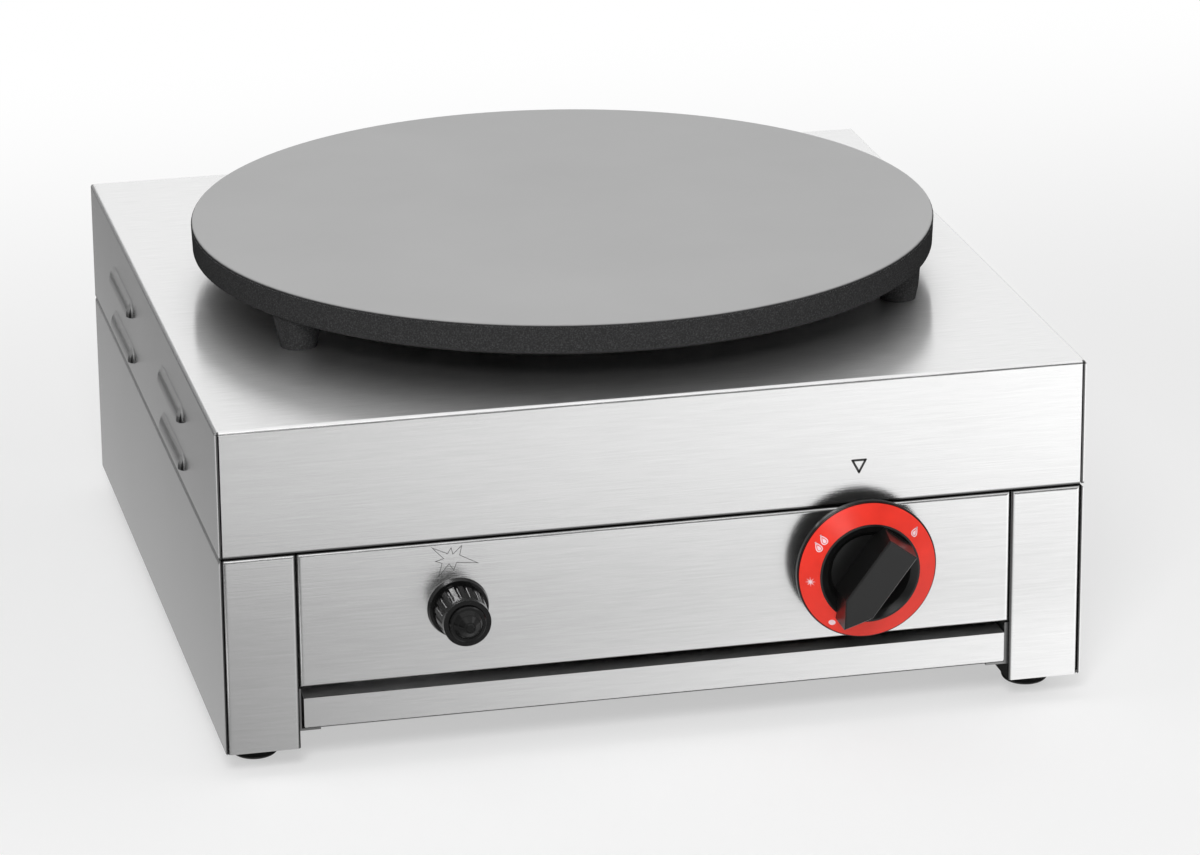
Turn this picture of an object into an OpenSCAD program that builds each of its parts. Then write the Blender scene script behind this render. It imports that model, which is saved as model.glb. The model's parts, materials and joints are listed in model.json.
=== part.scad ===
// Gas crepe maker: a round cast-iron griddle plate over a star burner, in a folded steel casing.
// Millimetres, +Z up, front towards -Y, origin on the table under the middle of the casing.

/* [Casing] */
// Width of the casing, side to side
body_w = 452; // [440:1:470]
// Depth of the casing, front to back
body_d = 446; // [436:1:460]
// Height of the base under the hood
base_h = 105; // [100:1:115]
// Height of the hood
hood_h = 67; // [65:1:76]
// Dark seam between the hood and the base
seam = 1; // [0.6:0.1:1.6]
// Thickness of the casing sheet
sheet = 1.2; // [1:0.1:1.5]
// Outer radius of a fold in the sheet
fold_r = 2.2; // [2:0.1:3]
// Gap where two folded edges lie side by side
edge_gap = 0.4; // [0.3:0.1:0.8]
// Width of each front post
post_w = 39; // [36:1:42]
// Depth of the flanges of the posts and the rear panel
flange_d = 28; // [24:1:32]
// Width of the floor flange that the feet are screwed to
floor_flange_w = 36; // [34:1:36]
// Width of the ledge at the top of each side panel
side_ledge_w = 15; // [12:1:18]
// Height of the opening for the tray, under the control panel
tray_opening_h = 33; // [31:1:35]
// Depth of the control panel's flanges
panel_flange = 18; // [14:1:20]

/* [Louvres] */
// Length of a louvre
louvre_l = 74; // [60:1:80]
// Height of a louvre
louvre_h = 9; // [8:0.5:10]
// How far a louvre stands out of the side
louvre_out = 3; // [2.6:0.1:3.2]
// Length of a louvre's rounded end
louvre_end = 4; // [3:1:9]
// Height of the lower row above the hood's edge
louvre_z = 9.5; // [8:0.5:14]
// Distance between the two rows
louvre_rows = 26; // [22:1:28]
// Middle of the louvre columns, back from the centre
louvre_mid_y = 12; // [-20:1:20]
// Distance between the two columns
louvre_columns = 180; // [160:1:190]

/* [Griddle plate] */
// Diameter of the plate's top
plate_d = 400; // [390:1:410]
// Thickness of the plate at its rim
plate_t = 16.5; // [14:0.5:20]
// How much the rim draws in towards its lower edge
plate_draft = 3; // [1:0.5:4]
// Radius of the rim's top edge
plate_edge_r = 1.6; // [1:0.2:3]
// Depth of the recess under the plate
plate_recess = 4; // [2:0.5:6]
// Width of the thick ring at the rim
plate_ring_w = 34; // [28:1:40]
// Place of the plate's centre, in front of the casing's centre
plate_forward = 4; // [0:1:8]
// Height of the cast feet under the plate
lug_h = 17; // [14:1:22]
// Diameter of a cast foot at its lower end
lug_low_d = 19; // [17:0.5:22]
// Diameter of a cast foot where it meets the plate
lug_top_d = 26; // [24:0.5:28]
// Distance of a cast foot's axis from the rim
lug_inset = 13.5; // [12.5:0.5:18]
// Radius of the bolts that hold the plate
plate_bolt_r = 4; // [3:0.5:4]
// Radius of the burner opening in the hood
opening_r = 146; // [143:1:148]
// Depth of the collar turned down round the burner opening
collar_h = 4; // [2:0.5:6]

/* [Inner frame] */
// Leg length of the frame's angle bars
angle_w = 25; // [20:1:26]
// Thickness of the frame's bars
bar_t = 2; // [1.5:0.5:3]
// Width of the channels under the plate's feet
channel_w = 25; // [22:1:27]
// Height of the channels
channel_h = 20; // [16:1:22]

/* [Feet] */
// Height of a rubber foot
foot_h = 13; // [11:1:16]
// Diameter of a rubber foot
foot_d = 25; // [23:1:26]
// Distance of a foot's centre from the side
foot_in_x = 20; // [18:1:20]
// Distance of a foot's centre from the front or back
foot_in_y = 32; // [30:1:60]
// Radius of the foot screws
foot_screw_r = 2.5; // [2:0.25:3]

/* [Drip tray] */
// Height of the runner ledges above the base's lower edge
ledge_z = 8; // [6:0.5:9]
// Width of the runner ledges
ledge_w = 11; // [8:1:14]
// Height of the runners
runner_h = 23; // [18:1:24]
// Height of the tray
tray_h = 17; // [14:0.5:18]
// How far the tray's front stands back from the posts
tray_back = 1.5; // [0.5:0.5:3]
// Length of the tray
tray_l = 424; // [400:1:426]
// Play between the tray and each runner
tray_play = 1; // [0.5:0.1:1.5]
// Lift of the tray off the ledges
tray_lift = 0.2; // [0.1:0.1:0.5]
// Depth of the folded lip along the tray's front
tray_lip = 12; // [8:1:16]

/* [Burner] */
// Number of arms of the star burner
arm_count = 8; // [6:1:8]
// Outer radius of the star
star_r = 138; // [125:1:140]
// Radius of an arm tube
arm_r = 8; // [7:0.5:8]
// Wall of the burner tubes
tube_wall = 1.5; // [1:0.25:2]
// Distance from the top of the arms to the griddle plate
flame_gap = 28; // [26:1:31]
// Ports along each arm
port_count = 9; // [6:1:10]
// Radius of a burner port
port_r = 1.3; // [1:0.1:1.6]
// Radius of the burner's hub
hub_r = 32; // [30:1:36]
// Height of the burner's hub
hub_h = 44; // [42:1:46]
// Radius of the mixing tube
mix_r = 13; // [12:0.5:13]
// Distance of the mixing tube's front from the casing's front
mix_in = 83; // [81:1:89]
// Thickness of the heat shield
shield_t = 1; // [0.8:0.1:1.5]
// Place of the heat shield's front edge, from the casing's front
shield_in = 73; // [70:1:76]

/* [Gas line] */
// Radius of the pipe from the tap to the burner
burner_pipe_r = 4; // [3:0.5:4.5]
// Radius of the supply pipe
supply_pipe_r = 5; // [4:0.5:5.5]
// Radius of the pipes' bends
pipe_bend = 15; // [12:1:16]
// Radius of the gas inlet's thread
inlet_thread_r = 10.48; // [9:0.01:11]
// Length of the gas inlet's thread
inlet_thread_l = 23; // [18:1:26]
// Length of the gas inlet's hexagon
inlet_hex_l = 14; // [10:1:16]
// Sideways place of the knob, the tap and the gas line
tap_x = 106.5; // [95:0.5:115]
// Distance of the knob's axis below the top of the base
tap_drop = 31; // [29:0.5:31]
// How far the outlet of the tap lies behind the panel
outlet_depth = 38; // [36:1:40]

/* [Knob] */
// Diameter of the knob's skirt
skirt_d = 74; // [68:1:78]
// Distance of the dial's inner edge from the panel
dial_out = 18; // [16:0.5:20]
// How far the dial's outer edge lies behind its inner edge
dial_fall = 5.5; // [4:0.5:6]
// Thickness of the dial ring
dial_t = 0.8; // [0.6:0.1:1.2]
// Inner diameter of the dial ring
dial_in_d = 53; // [51:1:55]
// Thickness of the skirt
skirt_t = 2.4; // [2:0.2:3]
// Distance of the grip's top from the panel
grip_out = 34.5; // [32:0.5:38]
// Half width of the grip
grip_half_w = 9; // [8:0.5:9.5]
// Reach of the grip's pointed end
grip_tip = 29.5; // [28:0.5:32]
// Reach of the grip's blunt end at its top
grip_tail = 22; // [19:0.5:23]
// Clock angle of the grip's pointed end
grip_clock = 217; // [0:1:359]
// Radius of the tap's spindle
spindle_r = 4; // [3:0.25:4.5]
// How far the knob can be pressed in
knob_travel = 3.5; // [2:0.5:4]

/* [Igniter] */
// Sideways place of the igniter
igniter_x = -104.7; // [-115:0.1:-95]
// Distance of the igniter's axis below the top of the base
igniter_drop = 36; // [33:0.5:41]
// Diameter of the igniter's flange
igniter_flange_d = 32; // [30:1:36]
// Distance of the igniter nut's front from the panel
nut_out = 23.5; // [22:0.5:26]
// Outer diameter of the nut's front collar
nut_collar_d = 24.5; // [23.5:0.5:26]
// Diameter of the button
button_d = 19; // [17:0.5:20]
// Distance of the button's tip from the panel
button_out = 31; // [30:0.5:34]
// How far the button can be pressed in
button_travel = 5; // [3:0.5:5]
// Flutes round the nut
flute_count = 18; // [12:1:24]

/* [Hidden] */
$fn = 64;
eps = 0.01;

// Running clearance of a shaft in its bore, and of a screw or tube in its hole
run_gap = 0.05;
hole_gap = 0.2;

// Heights of the main faces
base_z = foot_h;
base_top = base_z + base_h;
hood_z = base_top + seam;
hood_top = hood_z + hood_h;
plate_z = hood_top + lug_h;
plate_top = plate_z + plate_t;
panel_z = base_z + tray_opening_h;
panel_h = base_h - tray_opening_h;
front_y = -body_d / 2;
back_y = body_d / 2;

// Inner faces of the casing, and the frame that stands inside it
inner_r = fold_r - sheet;
leg_gap = 0.2;
frame_gap = inner_r + leg_gap;
flange_x = body_w / 2 - sheet - edge_gap;
frame_x = flange_x - sheet - frame_gap;
frame_y = body_d / 2 - sheet - frame_gap;
frame_top = hood_top - sheet;
frame_foot = base_z + sheet;
post_in_x = body_w / 2 - post_w;

// Cast feet of the plate, a third of a turn apart
plate_r = plate_d / 2;
lug_r = plate_r - lug_inset;
lug_angles = [-150, -30, 90];
bar_x = lug_r * cos(30);

// Burner heights
hub_rise = 1;
mix_lift = 2;
burner_y = -plate_forward;
arm_z = plate_z - flame_gap - arm_r;
hub_top = arm_z + arm_r + hub_rise;
hub_z = hub_top - hub_h;
mix_z = hub_z + mix_r + mix_lift;
mix_front_y = front_y + mix_in;
mix_l = burner_y - hub_r - mix_front_y;
shield_z = base_top;
shield_top = shield_z + shield_t;
shield_lip = 6;
shield_y = front_y + shield_in;
mix_end_t = 3;

// Gas tap, measured outwards from the panel's front face
tap_z = base_h - tap_drop;
tap_face = -sheet;
tap_flange_t = 4;
bonnet_l = 18;
bonnet_r = 14;
cavity_r = 9;
cavity_top = tap_face - tap_flange_t;
cavity_l = 15;
cavity_floor = cavity_top - cavity_l;
tap_body_r = 16;
tap_body_l = 57;
tap_tail_l = 13;
tap_tail = tap_face - tap_body_l;
tap_end = tap_tail - tap_tail_l;
boss_r = 8;
washer_t = 2.5;
spindle_flange_t = 1.5;
spindle_tail = 8;
spindle_end = cavity_floor - spindle_tail;
outlet_x = 26;
thermo_depth = 50;
tap_ear = 17;
tap_screw_r = 2;
gas_bore_r = 3;

// Pipe joints
nut_wall = 2.6;
nut_grip = 8;
injector_thread_r = 5;
injector_hex_l = 8;
injector_spigot_l = 10;
spigot_r = 6;
inlet_spigot_l = 15;
inlet_neck_l = 17;
locknut_l = 6;
inlet_end_y = back_y - sheet - inlet_neck_l - inlet_spigot_l;

// Igniter, measured outwards from the panel's front face
igniter_z = base_h - igniter_drop;
igniter_thread_r = 9;
igniter_barrel_r = 11;
igniter_shoulder_r = 13;
igniter_body_l = 46;
nut_flange_t = 3;
stem_r = 4;
nut_recess = 17;
thread_out = nut_out - nut_recess;
spring_solid_h = 5;
button_foot = thread_out + button_travel + spring_solid_h;

// Electrode and thermocouple beside one burner arm
probe_reach = 114;
probe_side = 15;
probe_arm_x = round(probe_reach * tan(180 / arm_count));
probe_x = probe_arm_x - probe_side;
thermo_x = probe_arm_x + probe_side;
probe_y = burner_y - probe_reach;
tab_drop = 18;
tab_z = arm_z - tab_drop;
probe_bracket_t = 2;
lead_r = 2;
lead_bend = 9;
wire_gap = 1;
lead_z = shield_z + shield_lip + lead_r + wire_gap;
capillary_r = 1.2;

// Small screws
screw_r = 2;
screw_head_r = 4;
screw_head_h = 2.4;
head_dome = 1.6;
cross_l = 1.2;
cross_w = 0.26;
screw_end = 1;

steel = [0.78, 0.79, 0.80];
dark_steel = [0.45, 0.46, 0.47];
cast_iron = [0.16, 0.16, 0.17];
black_plastic = [0.06, 0.06, 0.06];
black_rubber = [0.04, 0.04, 0.04];
dial_red = [0.88, 0.18, 0.14];
brass = [0.80, 0.64, 0.30];
copper = [0.78, 0.48, 0.34];
ceramic_white = [0.92, 0.91, 0.88];

// Outline of a folded section: square at its foot, with both top corners round
module crown(w, h, r) {
    translate([-w / 2, 0]) square([w, h - r]);
    translate([-w / 2 + r, 0]) square([w - 2 * r, h]);
    for (s = [-1, 1]) translate([s * (w / 2 - r), h - r]) circle(r);
}

// Block whose four top edges are round
module bent_block(w, d, h, r) {
    intersection() {
        rotate([90, 0, 0]) linear_extrude(d, center = true) crown(w, h, r);
        rotate([90, 0, 90]) linear_extrude(w, center = true) crown(d, h, r);
    }
}

// Folded sheet with a face on top and a flange down each side, open below
module folded_pan(w, d, h) {
    difference() {
        bent_block(w, d, h, fold_r);
        translate([0, 0, -1]) bent_block(w - 2 * sheet, d - 2 * sheet, h - sheet + 1, inner_r);
    }
}

// Places its children on the front of the control panel, +Z pointing out of it
module at_panel(x, z) {
    translate([x, front_y, base_z + z]) rotate([90, 0, 0]) children();
}

// Cylinder between two heights, on the local axis
module drum(r, z0, z1) {
    translate([0, 0, z0]) cylinder(r = r, h = z1 - z0);
}

module tapered_drum(r0, r1, z0, z1) {
    translate([0, 0, z0]) cylinder(r1 = r0, r2 = r1, h = z1 - z0);
}

// Hexagon bar by its size across flats
module hex_bar(flats, z0, z1) {
    translate([0, 0, z0]) cylinder(r = flats / sqrt(3), h = z1 - z0, $fn = 6);
}

// Turns +Z to the back
module backwards() {
    rotate([-90, 0, 0]) children();
}

function unit(v) = v / norm(v);

// Straight rod from one point to another
module rod(a, b, r) {
    v = b - a;
    translate(a) rotate([0, acos(v.z / norm(v)), atan2(v.y, v.x)]) cylinder(r = r, h = norm(v));
}

// Quarter bend of a rod at a corner, from direction d1 to direction d2
module elbow(corner, d1, d2, bend, r) {
    c = corner + (d2 - d1) * bend;
    n = cross(-d2, d1);
    multmatrix([
        [-d2.x, d1.x, n.x, c.x],
        [-d2.y, d1.y, n.y, c.y],
        [-d2.z, d1.z, n.z, c.z],
        [0, 0, 0, 1]
    ]) rotate_extrude(angle = 90) translate([bend, 0]) circle(r);
}

// Rod along square corners, each rounded by the bend radius
module bent_rod(p, bend, r) {
    last = len(p) - 1;
    for (i = [0 : last - 1]) {
        d = unit(p[i + 1] - p[i]);
        rod(p[i] + d * (i == 0 ? 0 : bend), p[i + 1] - d * (i == last - 1 ? 0 : bend), r);
    }
    for (i = [1 : last - 1]) elbow(p[i], unit(p[i] - p[i - 1]), unit(p[i + 1] - p[i]), bend, r);
}

module bent_pipe(p, bend, r, bore) {
    difference() {
        bent_rod(p, bend, r);
        bent_rod(p, bend, bore);
    }
}

// Pan-head screw with a cross recess: head above z = 0, shank below
module pan_screw(r, l, head_r, head_h) {
    difference() {
        rotate_extrude() {
            translate([0, -l]) square([r, l + head_h / 2]);
            intersection() {
                square([head_r, head_h]);
                translate([0, head_h - head_r * head_dome]) circle(head_r * head_dome);
            }
        }
        for (a = [0, 90]) rotate(a) translate([-head_r * cross_l / 2, -head_r * cross_w / 2, head_h / 2])
            cube([head_r * cross_l, head_r * cross_w, head_h]);
    }
}

// Coil spring along +Z as one tube with six sides
spring_rings = 8;
spring_sides = 6;
function spring_centre(r, pitch, i) =
    [r * cos(i * 360 / spring_rings), r * sin(i * 360 / spring_rings), pitch * i / spring_rings];
function spring_gap(r, pitch, turns, wire) = min([
    for (i = [0 : turns * spring_rings - spring_rings])
    for (j = [i + spring_rings / 2 : turns * spring_rings])
    norm(spring_centre(r, pitch, i) - spring_centre(r, pitch, j))
]) - wire;
module coil_spring(name, r, wire, l, turns) {
    pitch = (l - wire) / turns;
    rings = turns * spring_rings;
    points = [
        for (i = [0 : rings]) for (k = [0 : spring_sides - 1])
        let (a = i * 360 / spring_rings, b = k * 360 / spring_sides, ring_r = r + wire / 2 * cos(b))
        [ring_r * cos(a), ring_r * sin(a), wire / 2 + pitch * i / spring_rings + wire / 2 * sin(b)]
    ];
    walls = [
        for (i = [0 : rings - 1]) for (k = [0 : spring_sides - 1])
        let (a = i * spring_sides + k, b = i * spring_sides + (k + 1) % spring_sides)
        each [[a, a + spring_sides, b], [b, a + spring_sides, b + spring_sides]]
    ];
    first = [for (k = [1 : spring_sides - 2]) [0, k, k + 1]];
    end = rings * spring_sides;
    final = [for (k = [1 : spring_sides - 2]) [end, end + k + 1, end + k]];
    echo(str(name, " least gap"), spring_gap(r, pitch, turns, wire));
    polyhedron(points, concat(walls, first, final));
}

// Spindle-shaped body that a louvre is pressed to, along Y
module louvre_form(r) {
    half = louvre_l / 2;
    shoulder_r = r - 0.4 * louvre_out;
    shoulder = half - 0.3 * louvre_end;
    rotate([90, 0, 0]) rotate_extrude() polygon([
        [0, -half], [r - louvre_out, -half], [shoulder_r, -shoulder], [r, -half + louvre_end],
        [r, half - louvre_end], [shoulder_r, shoulder], [r - louvre_out, half], [0, half]
    ]);
}

louvre_r = (louvre_h * louvre_h + louvre_out * louvre_out) / (2 * louvre_out);

// Places its children at every louvre's lower edge, on both sides
module at_louvres() {
    for (s = [0, 1]) mirror([s, 0, 0])
        for (row = [0, 1]) for (column = [-1, 1])
            translate([
                body_w / 2 + louvre_out - louvre_r,
                louvre_mid_y + column * louvre_columns / 2,
                hood_z + louvre_z + row * louvre_rows
            ]) children();
}

// Upper half of the louvre form, from the side's inner face outwards
module louvre_half(r, depth) {
    intersection() {
        louvre_form(r);
        translate([louvre_r - louvre_out - depth, -louvre_l, 0]) cube([louvre_r, 2 * louvre_l, louvre_r]);
    }
}

module at_lugs() {
    for (a = lug_angles) translate([lug_r * cos(a), burner_y + lug_r * sin(a), 0]) children();
}

hood_screw_xs = [-120, 0, 120];
hood_screw_z = frame_top - angle_w / 2;

corner_slot = 0.7;

module hood() {
    color(steel) {
        difference() {
            translate([0, 0, hood_z]) folded_pan(body_w, body_d, hood_h);
            translate([0, burner_y, hood_top - 2 * sheet]) cylinder(r = opening_r, h = 4 * sheet);
            at_lugs() drum(plate_bolt_r + hole_gap, hood_top - 2 * sheet, hood_top + sheet);
            for (sx = [-1, 1]) for (sy = [-1, 1])
                translate([sx * (flange_x + (edge_gap - corner_slot) / 2) - corner_slot / 2,
                           sy * (body_d / 2 - sheet / 2) - sheet, hood_z - 1])
                    cube([corner_slot, 2 * sheet, hood_h - fold_r + 1]);
            at_louvres() louvre_half(louvre_r - sheet, 2 * sheet);
            for (x = hood_screw_xs) translate([x, back_y - 2 * sheet, hood_screw_z])
                backwards() cylinder(r = screw_r + hole_gap, h = 4 * sheet);
        }
        at_louvres() difference() {
            louvre_half(louvre_r, sheet / 2);
            louvre_form(louvre_r - sheet);
        }
        translate([0, burner_y, 0]) difference() {
            drum(opening_r + sheet, hood_top - sheet - collar_h, hood_top - sheet / 2);
            drum(opening_r, hood_top - 2 * sheet - collar_h, hood_top);
        }
    }
}

// Foot places: side sign, then front or back sign
foot_x = body_w / 2 - foot_in_x;
foot_y = body_d / 2 - foot_in_y;
foot_places = [[-1, -1], [1, -1], [-1, 1], [1, 1]];

module at_foot(p) {
    translate([p.x * foot_x, p.y * foot_y, 0]) children();
}

ledge_end_gap = 4;

// Right side panel: web outwards, floor flange below, ledge on top
module side_panel_form() {
    length = body_d;
    floor_cut = sheet + edge_gap;
    difference() {
        translate([body_w / 2, 0, base_z + base_h / 2]) rotate([90, 0, 0]) rotate([0, 0, -90])
            linear_extrude(length, center = true) difference() {
                translate([0, -floor_flange_w]) crown(base_h, floor_flange_w, fold_r);
                translate([0, -floor_flange_w - 1])
                    crown(base_h - 2 * sheet, floor_flange_w - sheet + 1, inner_r);
            }
        // the ledge is narrower than the floor flange and stops short of the frame's legs
        translate([0, -length, base_top - fold_r]) cube([body_w / 2 - side_ledge_w, 2 * length, 2 * fold_r]);
        for (s = [-1, 1]) translate([0, s * (frame_y - angle_w - ledge_end_gap), base_top - fold_r])
            mirror([0, s < 0 ? 1 : 0, 0]) cube([body_w / 2 - sheet, length, 2 * fold_r]);
        // the floor flange leaves room for the folded edges of the post and the rear panel
        for (s = [-1, 1]) translate([0, s * (body_d / 2 - floor_cut), base_z - 1])
            mirror([0, s < 0 ? 1 : 0, 0]) cube([body_w / 2 - sheet, length, fold_r + 1]);
        for (p = foot_places) at_foot(p) drum(foot_screw_r + hole_gap, base_z - 1, base_z + 2 * sheet);
    }
}

module side_panel_right() {
    color(steel) side_panel_form();
}

module side_panel_left() {
    color(steel) mirror([1, 0, 0]) side_panel_form();
}

panel_screw_in = 11;
panel_screw_low = 14;
panel_screw_high = 20;
panel_screw_y = front_y + panel_screw_in;
panel_screw_zs = [panel_z + panel_screw_low, base_top - panel_screw_high];

// Room for the frame's right rear leg in a top flange
module leg_notch() {
    translate([frame_x - angle_w - leg_gap, frame_y + leg_gap - flange_d, base_top - fold_r])
        cube([angle_w + 2 * leg_gap, flange_d, 2 * fold_r]);
}

// Right front post: a folded pan on edge, cut open below
module front_post_form() {
    w = flange_x - post_in_x;
    tall = base_h + fold_r;
    difference() {
        translate([post_in_x + w / 2, front_y + flange_d, base_top - tall / 2])
            rotate([90, 0, 0]) folded_pan(w, tall, flange_d);
        translate([0, front_y - 1, base_z - 2 * fold_r]) cube([body_w, flange_d + 2, 2 * fold_r]);
        // the outer flange stands on the side panel's floor flange
        translate([flange_x - 2 * sheet, front_y + sheet + edge_gap, base_z - 1])
            cube([3 * sheet, flange_d, sheet + edge_gap + 1]);
        for (z = panel_screw_zs) translate([post_in_x - sheet, panel_screw_y, z])
            rotate([0, 90, 0]) cylinder(r = screw_r + hole_gap, h = 3 * sheet);
        mirror([0, 1, 0]) leg_notch();
    }
}

module front_post_right() {
    color(steel) front_post_form();
}

module front_post_left() {
    color(steel) mirror([1, 0, 0]) front_post_form();
}

panel_half_w = post_in_x - edge_gap;

module control_panel() {
    color(steel) difference() {
        translate([0, front_y + panel_flange, panel_z + panel_h / 2])
            rotate([90, 0, 0]) folded_pan(2 * panel_half_w, panel_h, panel_flange);
        at_panel(tap_x, tap_z) drum(spindle_r + 2, -2 * sheet, sheet);
        for (s = [-1, 1]) at_panel(tap_x + s * tap_ear, tap_z)
            drum(tap_screw_r + hole_gap, -2 * sheet, sheet);
        at_panel(igniter_x, igniter_z) drum(igniter_thread_r + hole_gap, -2 * sheet, sheet);
        for (s = [-1, 1]) for (z = panel_screw_zs) translate([s * panel_half_w - 2 * sheet, panel_screw_y, z])
            rotate([0, 90, 0]) cylinder(r = screw_r + hole_gap, h = 4 * sheet);
    }
}

rear_screw_x = frame_x - angle_w / 2;
rear_screw_low = 40;
rear_screw_high = 18;
rear_screw_zs = [base_z + rear_screw_low, base_top - rear_screw_high];
vent_l = 60;
vent_h = 6;
vent_drop = 25;
vent_step = 15;
vent_rows = 3;
vent_zs = [for (i = [0 : vent_rows - 1]) base_top - vent_drop - i * vent_step];
vent_xs = [-150, -50];

module rear_panel() {
    tall = base_h + fold_r;
    color(steel) difference() {
        translate([0, back_y - flange_d, base_top - tall / 2])
            rotate([-90, 0, 0]) folded_pan(2 * flange_x, tall, flange_d);
        translate([-body_w, back_y - flange_d - 1, base_z - 2 * fold_r])
            cube([2 * body_w, flange_d + 2, 2 * fold_r]);
        for (s = [-1, 1]) translate([s * (flange_x - sheet / 2) - sheet, back_y - flange_d - 1, base_z - 1])
            cube([2 * sheet, flange_d - sheet - edge_gap + 1, sheet + edge_gap + 1]);
        for (s = [0, 1]) mirror([s, 0, 0]) leg_notch();
        translate([tap_x, back_y - 2 * sheet, base_z + tap_z])
            backwards() cylinder(r = inlet_thread_r + hole_gap, h = 4 * sheet);
        for (s = [-1, 1]) for (z = rear_screw_zs) translate([s * rear_screw_x, back_y - 2 * sheet, z])
            backwards() cylinder(r = screw_r + hole_gap, h = 4 * sheet);
        for (x = vent_xs) for (z = vent_zs) translate([x - vent_l / 2, back_y - 2 * sheet, z]) {
            translate([vent_h / 2, 0, 0]) cube([vent_l - vent_h, 4 * sheet, vent_h]);
            for (e = [vent_h / 2, vent_l - vent_h / 2]) translate([e, 0, vent_h / 2])
                backwards() cylinder(r = vent_h / 2, h = 4 * sheet);
        }
    }
}

// Angle bar along Z with its corner at the origin, legs towards +X and +Y
module angle_bar(l) {
    linear_extrude(l) polygon([
        [0, 0], [angle_w, 0], [angle_w, bar_t], [bar_t, bar_t], [bar_t, angle_w], [0, angle_w]
    ]);
}

// Channel along +X, open below, with its top at the origin
module channel_bar(l) {
    translate([0, 0, -channel_h]) difference() {
        translate([0, -channel_w / 2, 0]) cube([l, channel_w, channel_h]);
        translate([-1, -channel_w / 2 + bar_t, -1])
            cube([l + 2, channel_w - 2 * bar_t, channel_h - bar_t + 1]);
    }
}

module inner_frame() {
    leg_l = frame_top - frame_foot;
    color(dark_steel) difference() {
        union() {
            for (sx = [0, 1]) for (sy = [0, 1]) mirror([sx, 0, 0]) mirror([0, sy, 0])
                translate([-frame_x, -frame_y, frame_foot]) angle_bar(leg_l);
            // rails along the front and the back
            for (sy = [0, 1]) mirror([0, sy, 0]) translate([-frame_x, -frame_y, frame_top])
                rotate([0, 90, 0]) angle_bar(2 * frame_x);
            // channels under the plate's feet
            for (s = [-1, 1]) translate([s * bar_x, -frame_y, frame_top])
                rotate([0, 0, 90]) channel_bar(2 * frame_y);
            translate([-bar_x, burner_y + lug_r, frame_top]) channel_bar(2 * bar_x);
        }
        at_lugs() drum(plate_bolt_r + hole_gap, frame_top - 2 * bar_t, frame_top + 1);
        // room for the hood's collar
        translate([0, burner_y, 0])
            drum(opening_r + sheet + leg_gap, frame_top - collar_h - leg_gap, frame_top + 1);
        for (x = hood_screw_xs) translate([x, frame_y - 2 * bar_t, hood_screw_z])
            backwards() cylinder(r = screw_r + hole_gap, h = 4 * bar_t);
        for (s = [-1, 1]) for (z = rear_screw_zs) translate([s * rear_screw_x, frame_y - 2 * bar_t, z])
            backwards() cylinder(r = screw_r + hole_gap, h = 4 * bar_t);
    }
}

bracket_half_l = 34;
bracket_foot = 20;
bracket_w = 40;
shield_slot_l = 70;
shield_slot_w = 8;
shield_slot_ys = [-70, -25, 65, 110, 150];
shield_slot_x = 130;
shield_side_gap = 4;
shield_back_gap = 6;

module heat_shield() {
    half_w = body_w / 2 - sheet - shield_side_gap;
    length = frame_y - angle_w - shield_back_gap - shield_y;
    color(dark_steel) difference() {
        union() {
            translate([-half_w, shield_y, shield_z]) cube([2 * half_w, length, shield_t]);
            for (y = [shield_y, shield_y + length - shield_t]) translate([-half_w, y, shield_z])
                cube([2 * half_w, shield_t, shield_lip]);
        }
        for (s = [-1, 1]) for (y = shield_slot_ys)
            translate([s * shield_slot_x - shield_slot_l / 2, y - shield_slot_w / 2, shield_z - 1])
                cube([shield_slot_l, shield_slot_w, shield_t + 2]);
        for (s = [-1, 1]) translate([s * (bracket_half_l + bracket_foot / 2), burner_y, 0])
            drum(screw_r + hole_gap, shield_z - 1, shield_top + 1);
    }
}

runner_z = base_z + ledge_z;
runner_in = 4;

// Right runner: an angle with its ledge inwards and a tab against the rear panel
module tray_runner_form() {
    start = front_y + runner_in;
    length = back_y - sheet - start;
    tab_w = frame_x - angle_w - post_in_x;
    translate([post_in_x - sheet, start, runner_z]) cube([sheet, length, runner_h]);
    translate([post_in_x - ledge_w, start, runner_z]) cube([ledge_w, length, sheet]);
    translate([post_in_x - sheet, back_y - 2 * sheet, runner_z]) cube([sheet + tab_w, sheet, runner_h]);
}

module tray_runner_right() {
    color(steel) tray_runner_form();
}

module tray_runner_left() {
    color(steel) mirror([1, 0, 0]) tray_runner_form();
}

tray_z = runner_z + sheet + tray_lift;
tray_half_w = post_in_x - sheet - tray_play;
tray_y = front_y + tray_back;
tray_lip_h = 5;

// Shallow tray with a lip folded back along its front edge
module drip_tray() {
    color(steel) {
        translate([0, tray_y + tray_l / 2, tray_z + tray_h])
            rotate([180, 0, 0]) folded_pan(2 * tray_half_w, tray_l, tray_h);
        translate([-tray_half_w + sheet / 2, tray_y + sheet / 2, tray_z + tray_h - sheet])
            cube([2 * tray_half_w - sheet, tray_lip, sheet]);
        translate([-tray_half_w + sheet / 2, tray_y + tray_lip - sheet / 2, tray_z + tray_h - tray_lip_h])
            cube([2 * tray_half_w - sheet, sheet, tray_lip_h]);
    }
}

foot_edge_r = 4;
foot_cavity_r = 6.5;
foot_web = 5;

// Rubber foot with a rounded lower edge and a pocket for its screw's head
module rubber_foot(p) {
    r = foot_d / 2;
    color(black_rubber) at_foot(p) difference() {
        rotate_extrude() {
            translate([0, foot_edge_r]) square([r, foot_h - foot_edge_r]);
            square([r - foot_edge_r, foot_h]);
            translate([r - foot_edge_r, foot_edge_r]) circle(foot_edge_r);
        }
        drum(foot_cavity_r, -1, foot_h - foot_web);
        drum(foot_screw_r + hole_gap, 0, foot_h + 1);
    }
}

module foot_front_left() {
    rubber_foot(foot_places[0]);
}

module foot_front_right() {
    rubber_foot(foot_places[1]);
}

module foot_rear_left() {
    rubber_foot(foot_places[2]);
}

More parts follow.
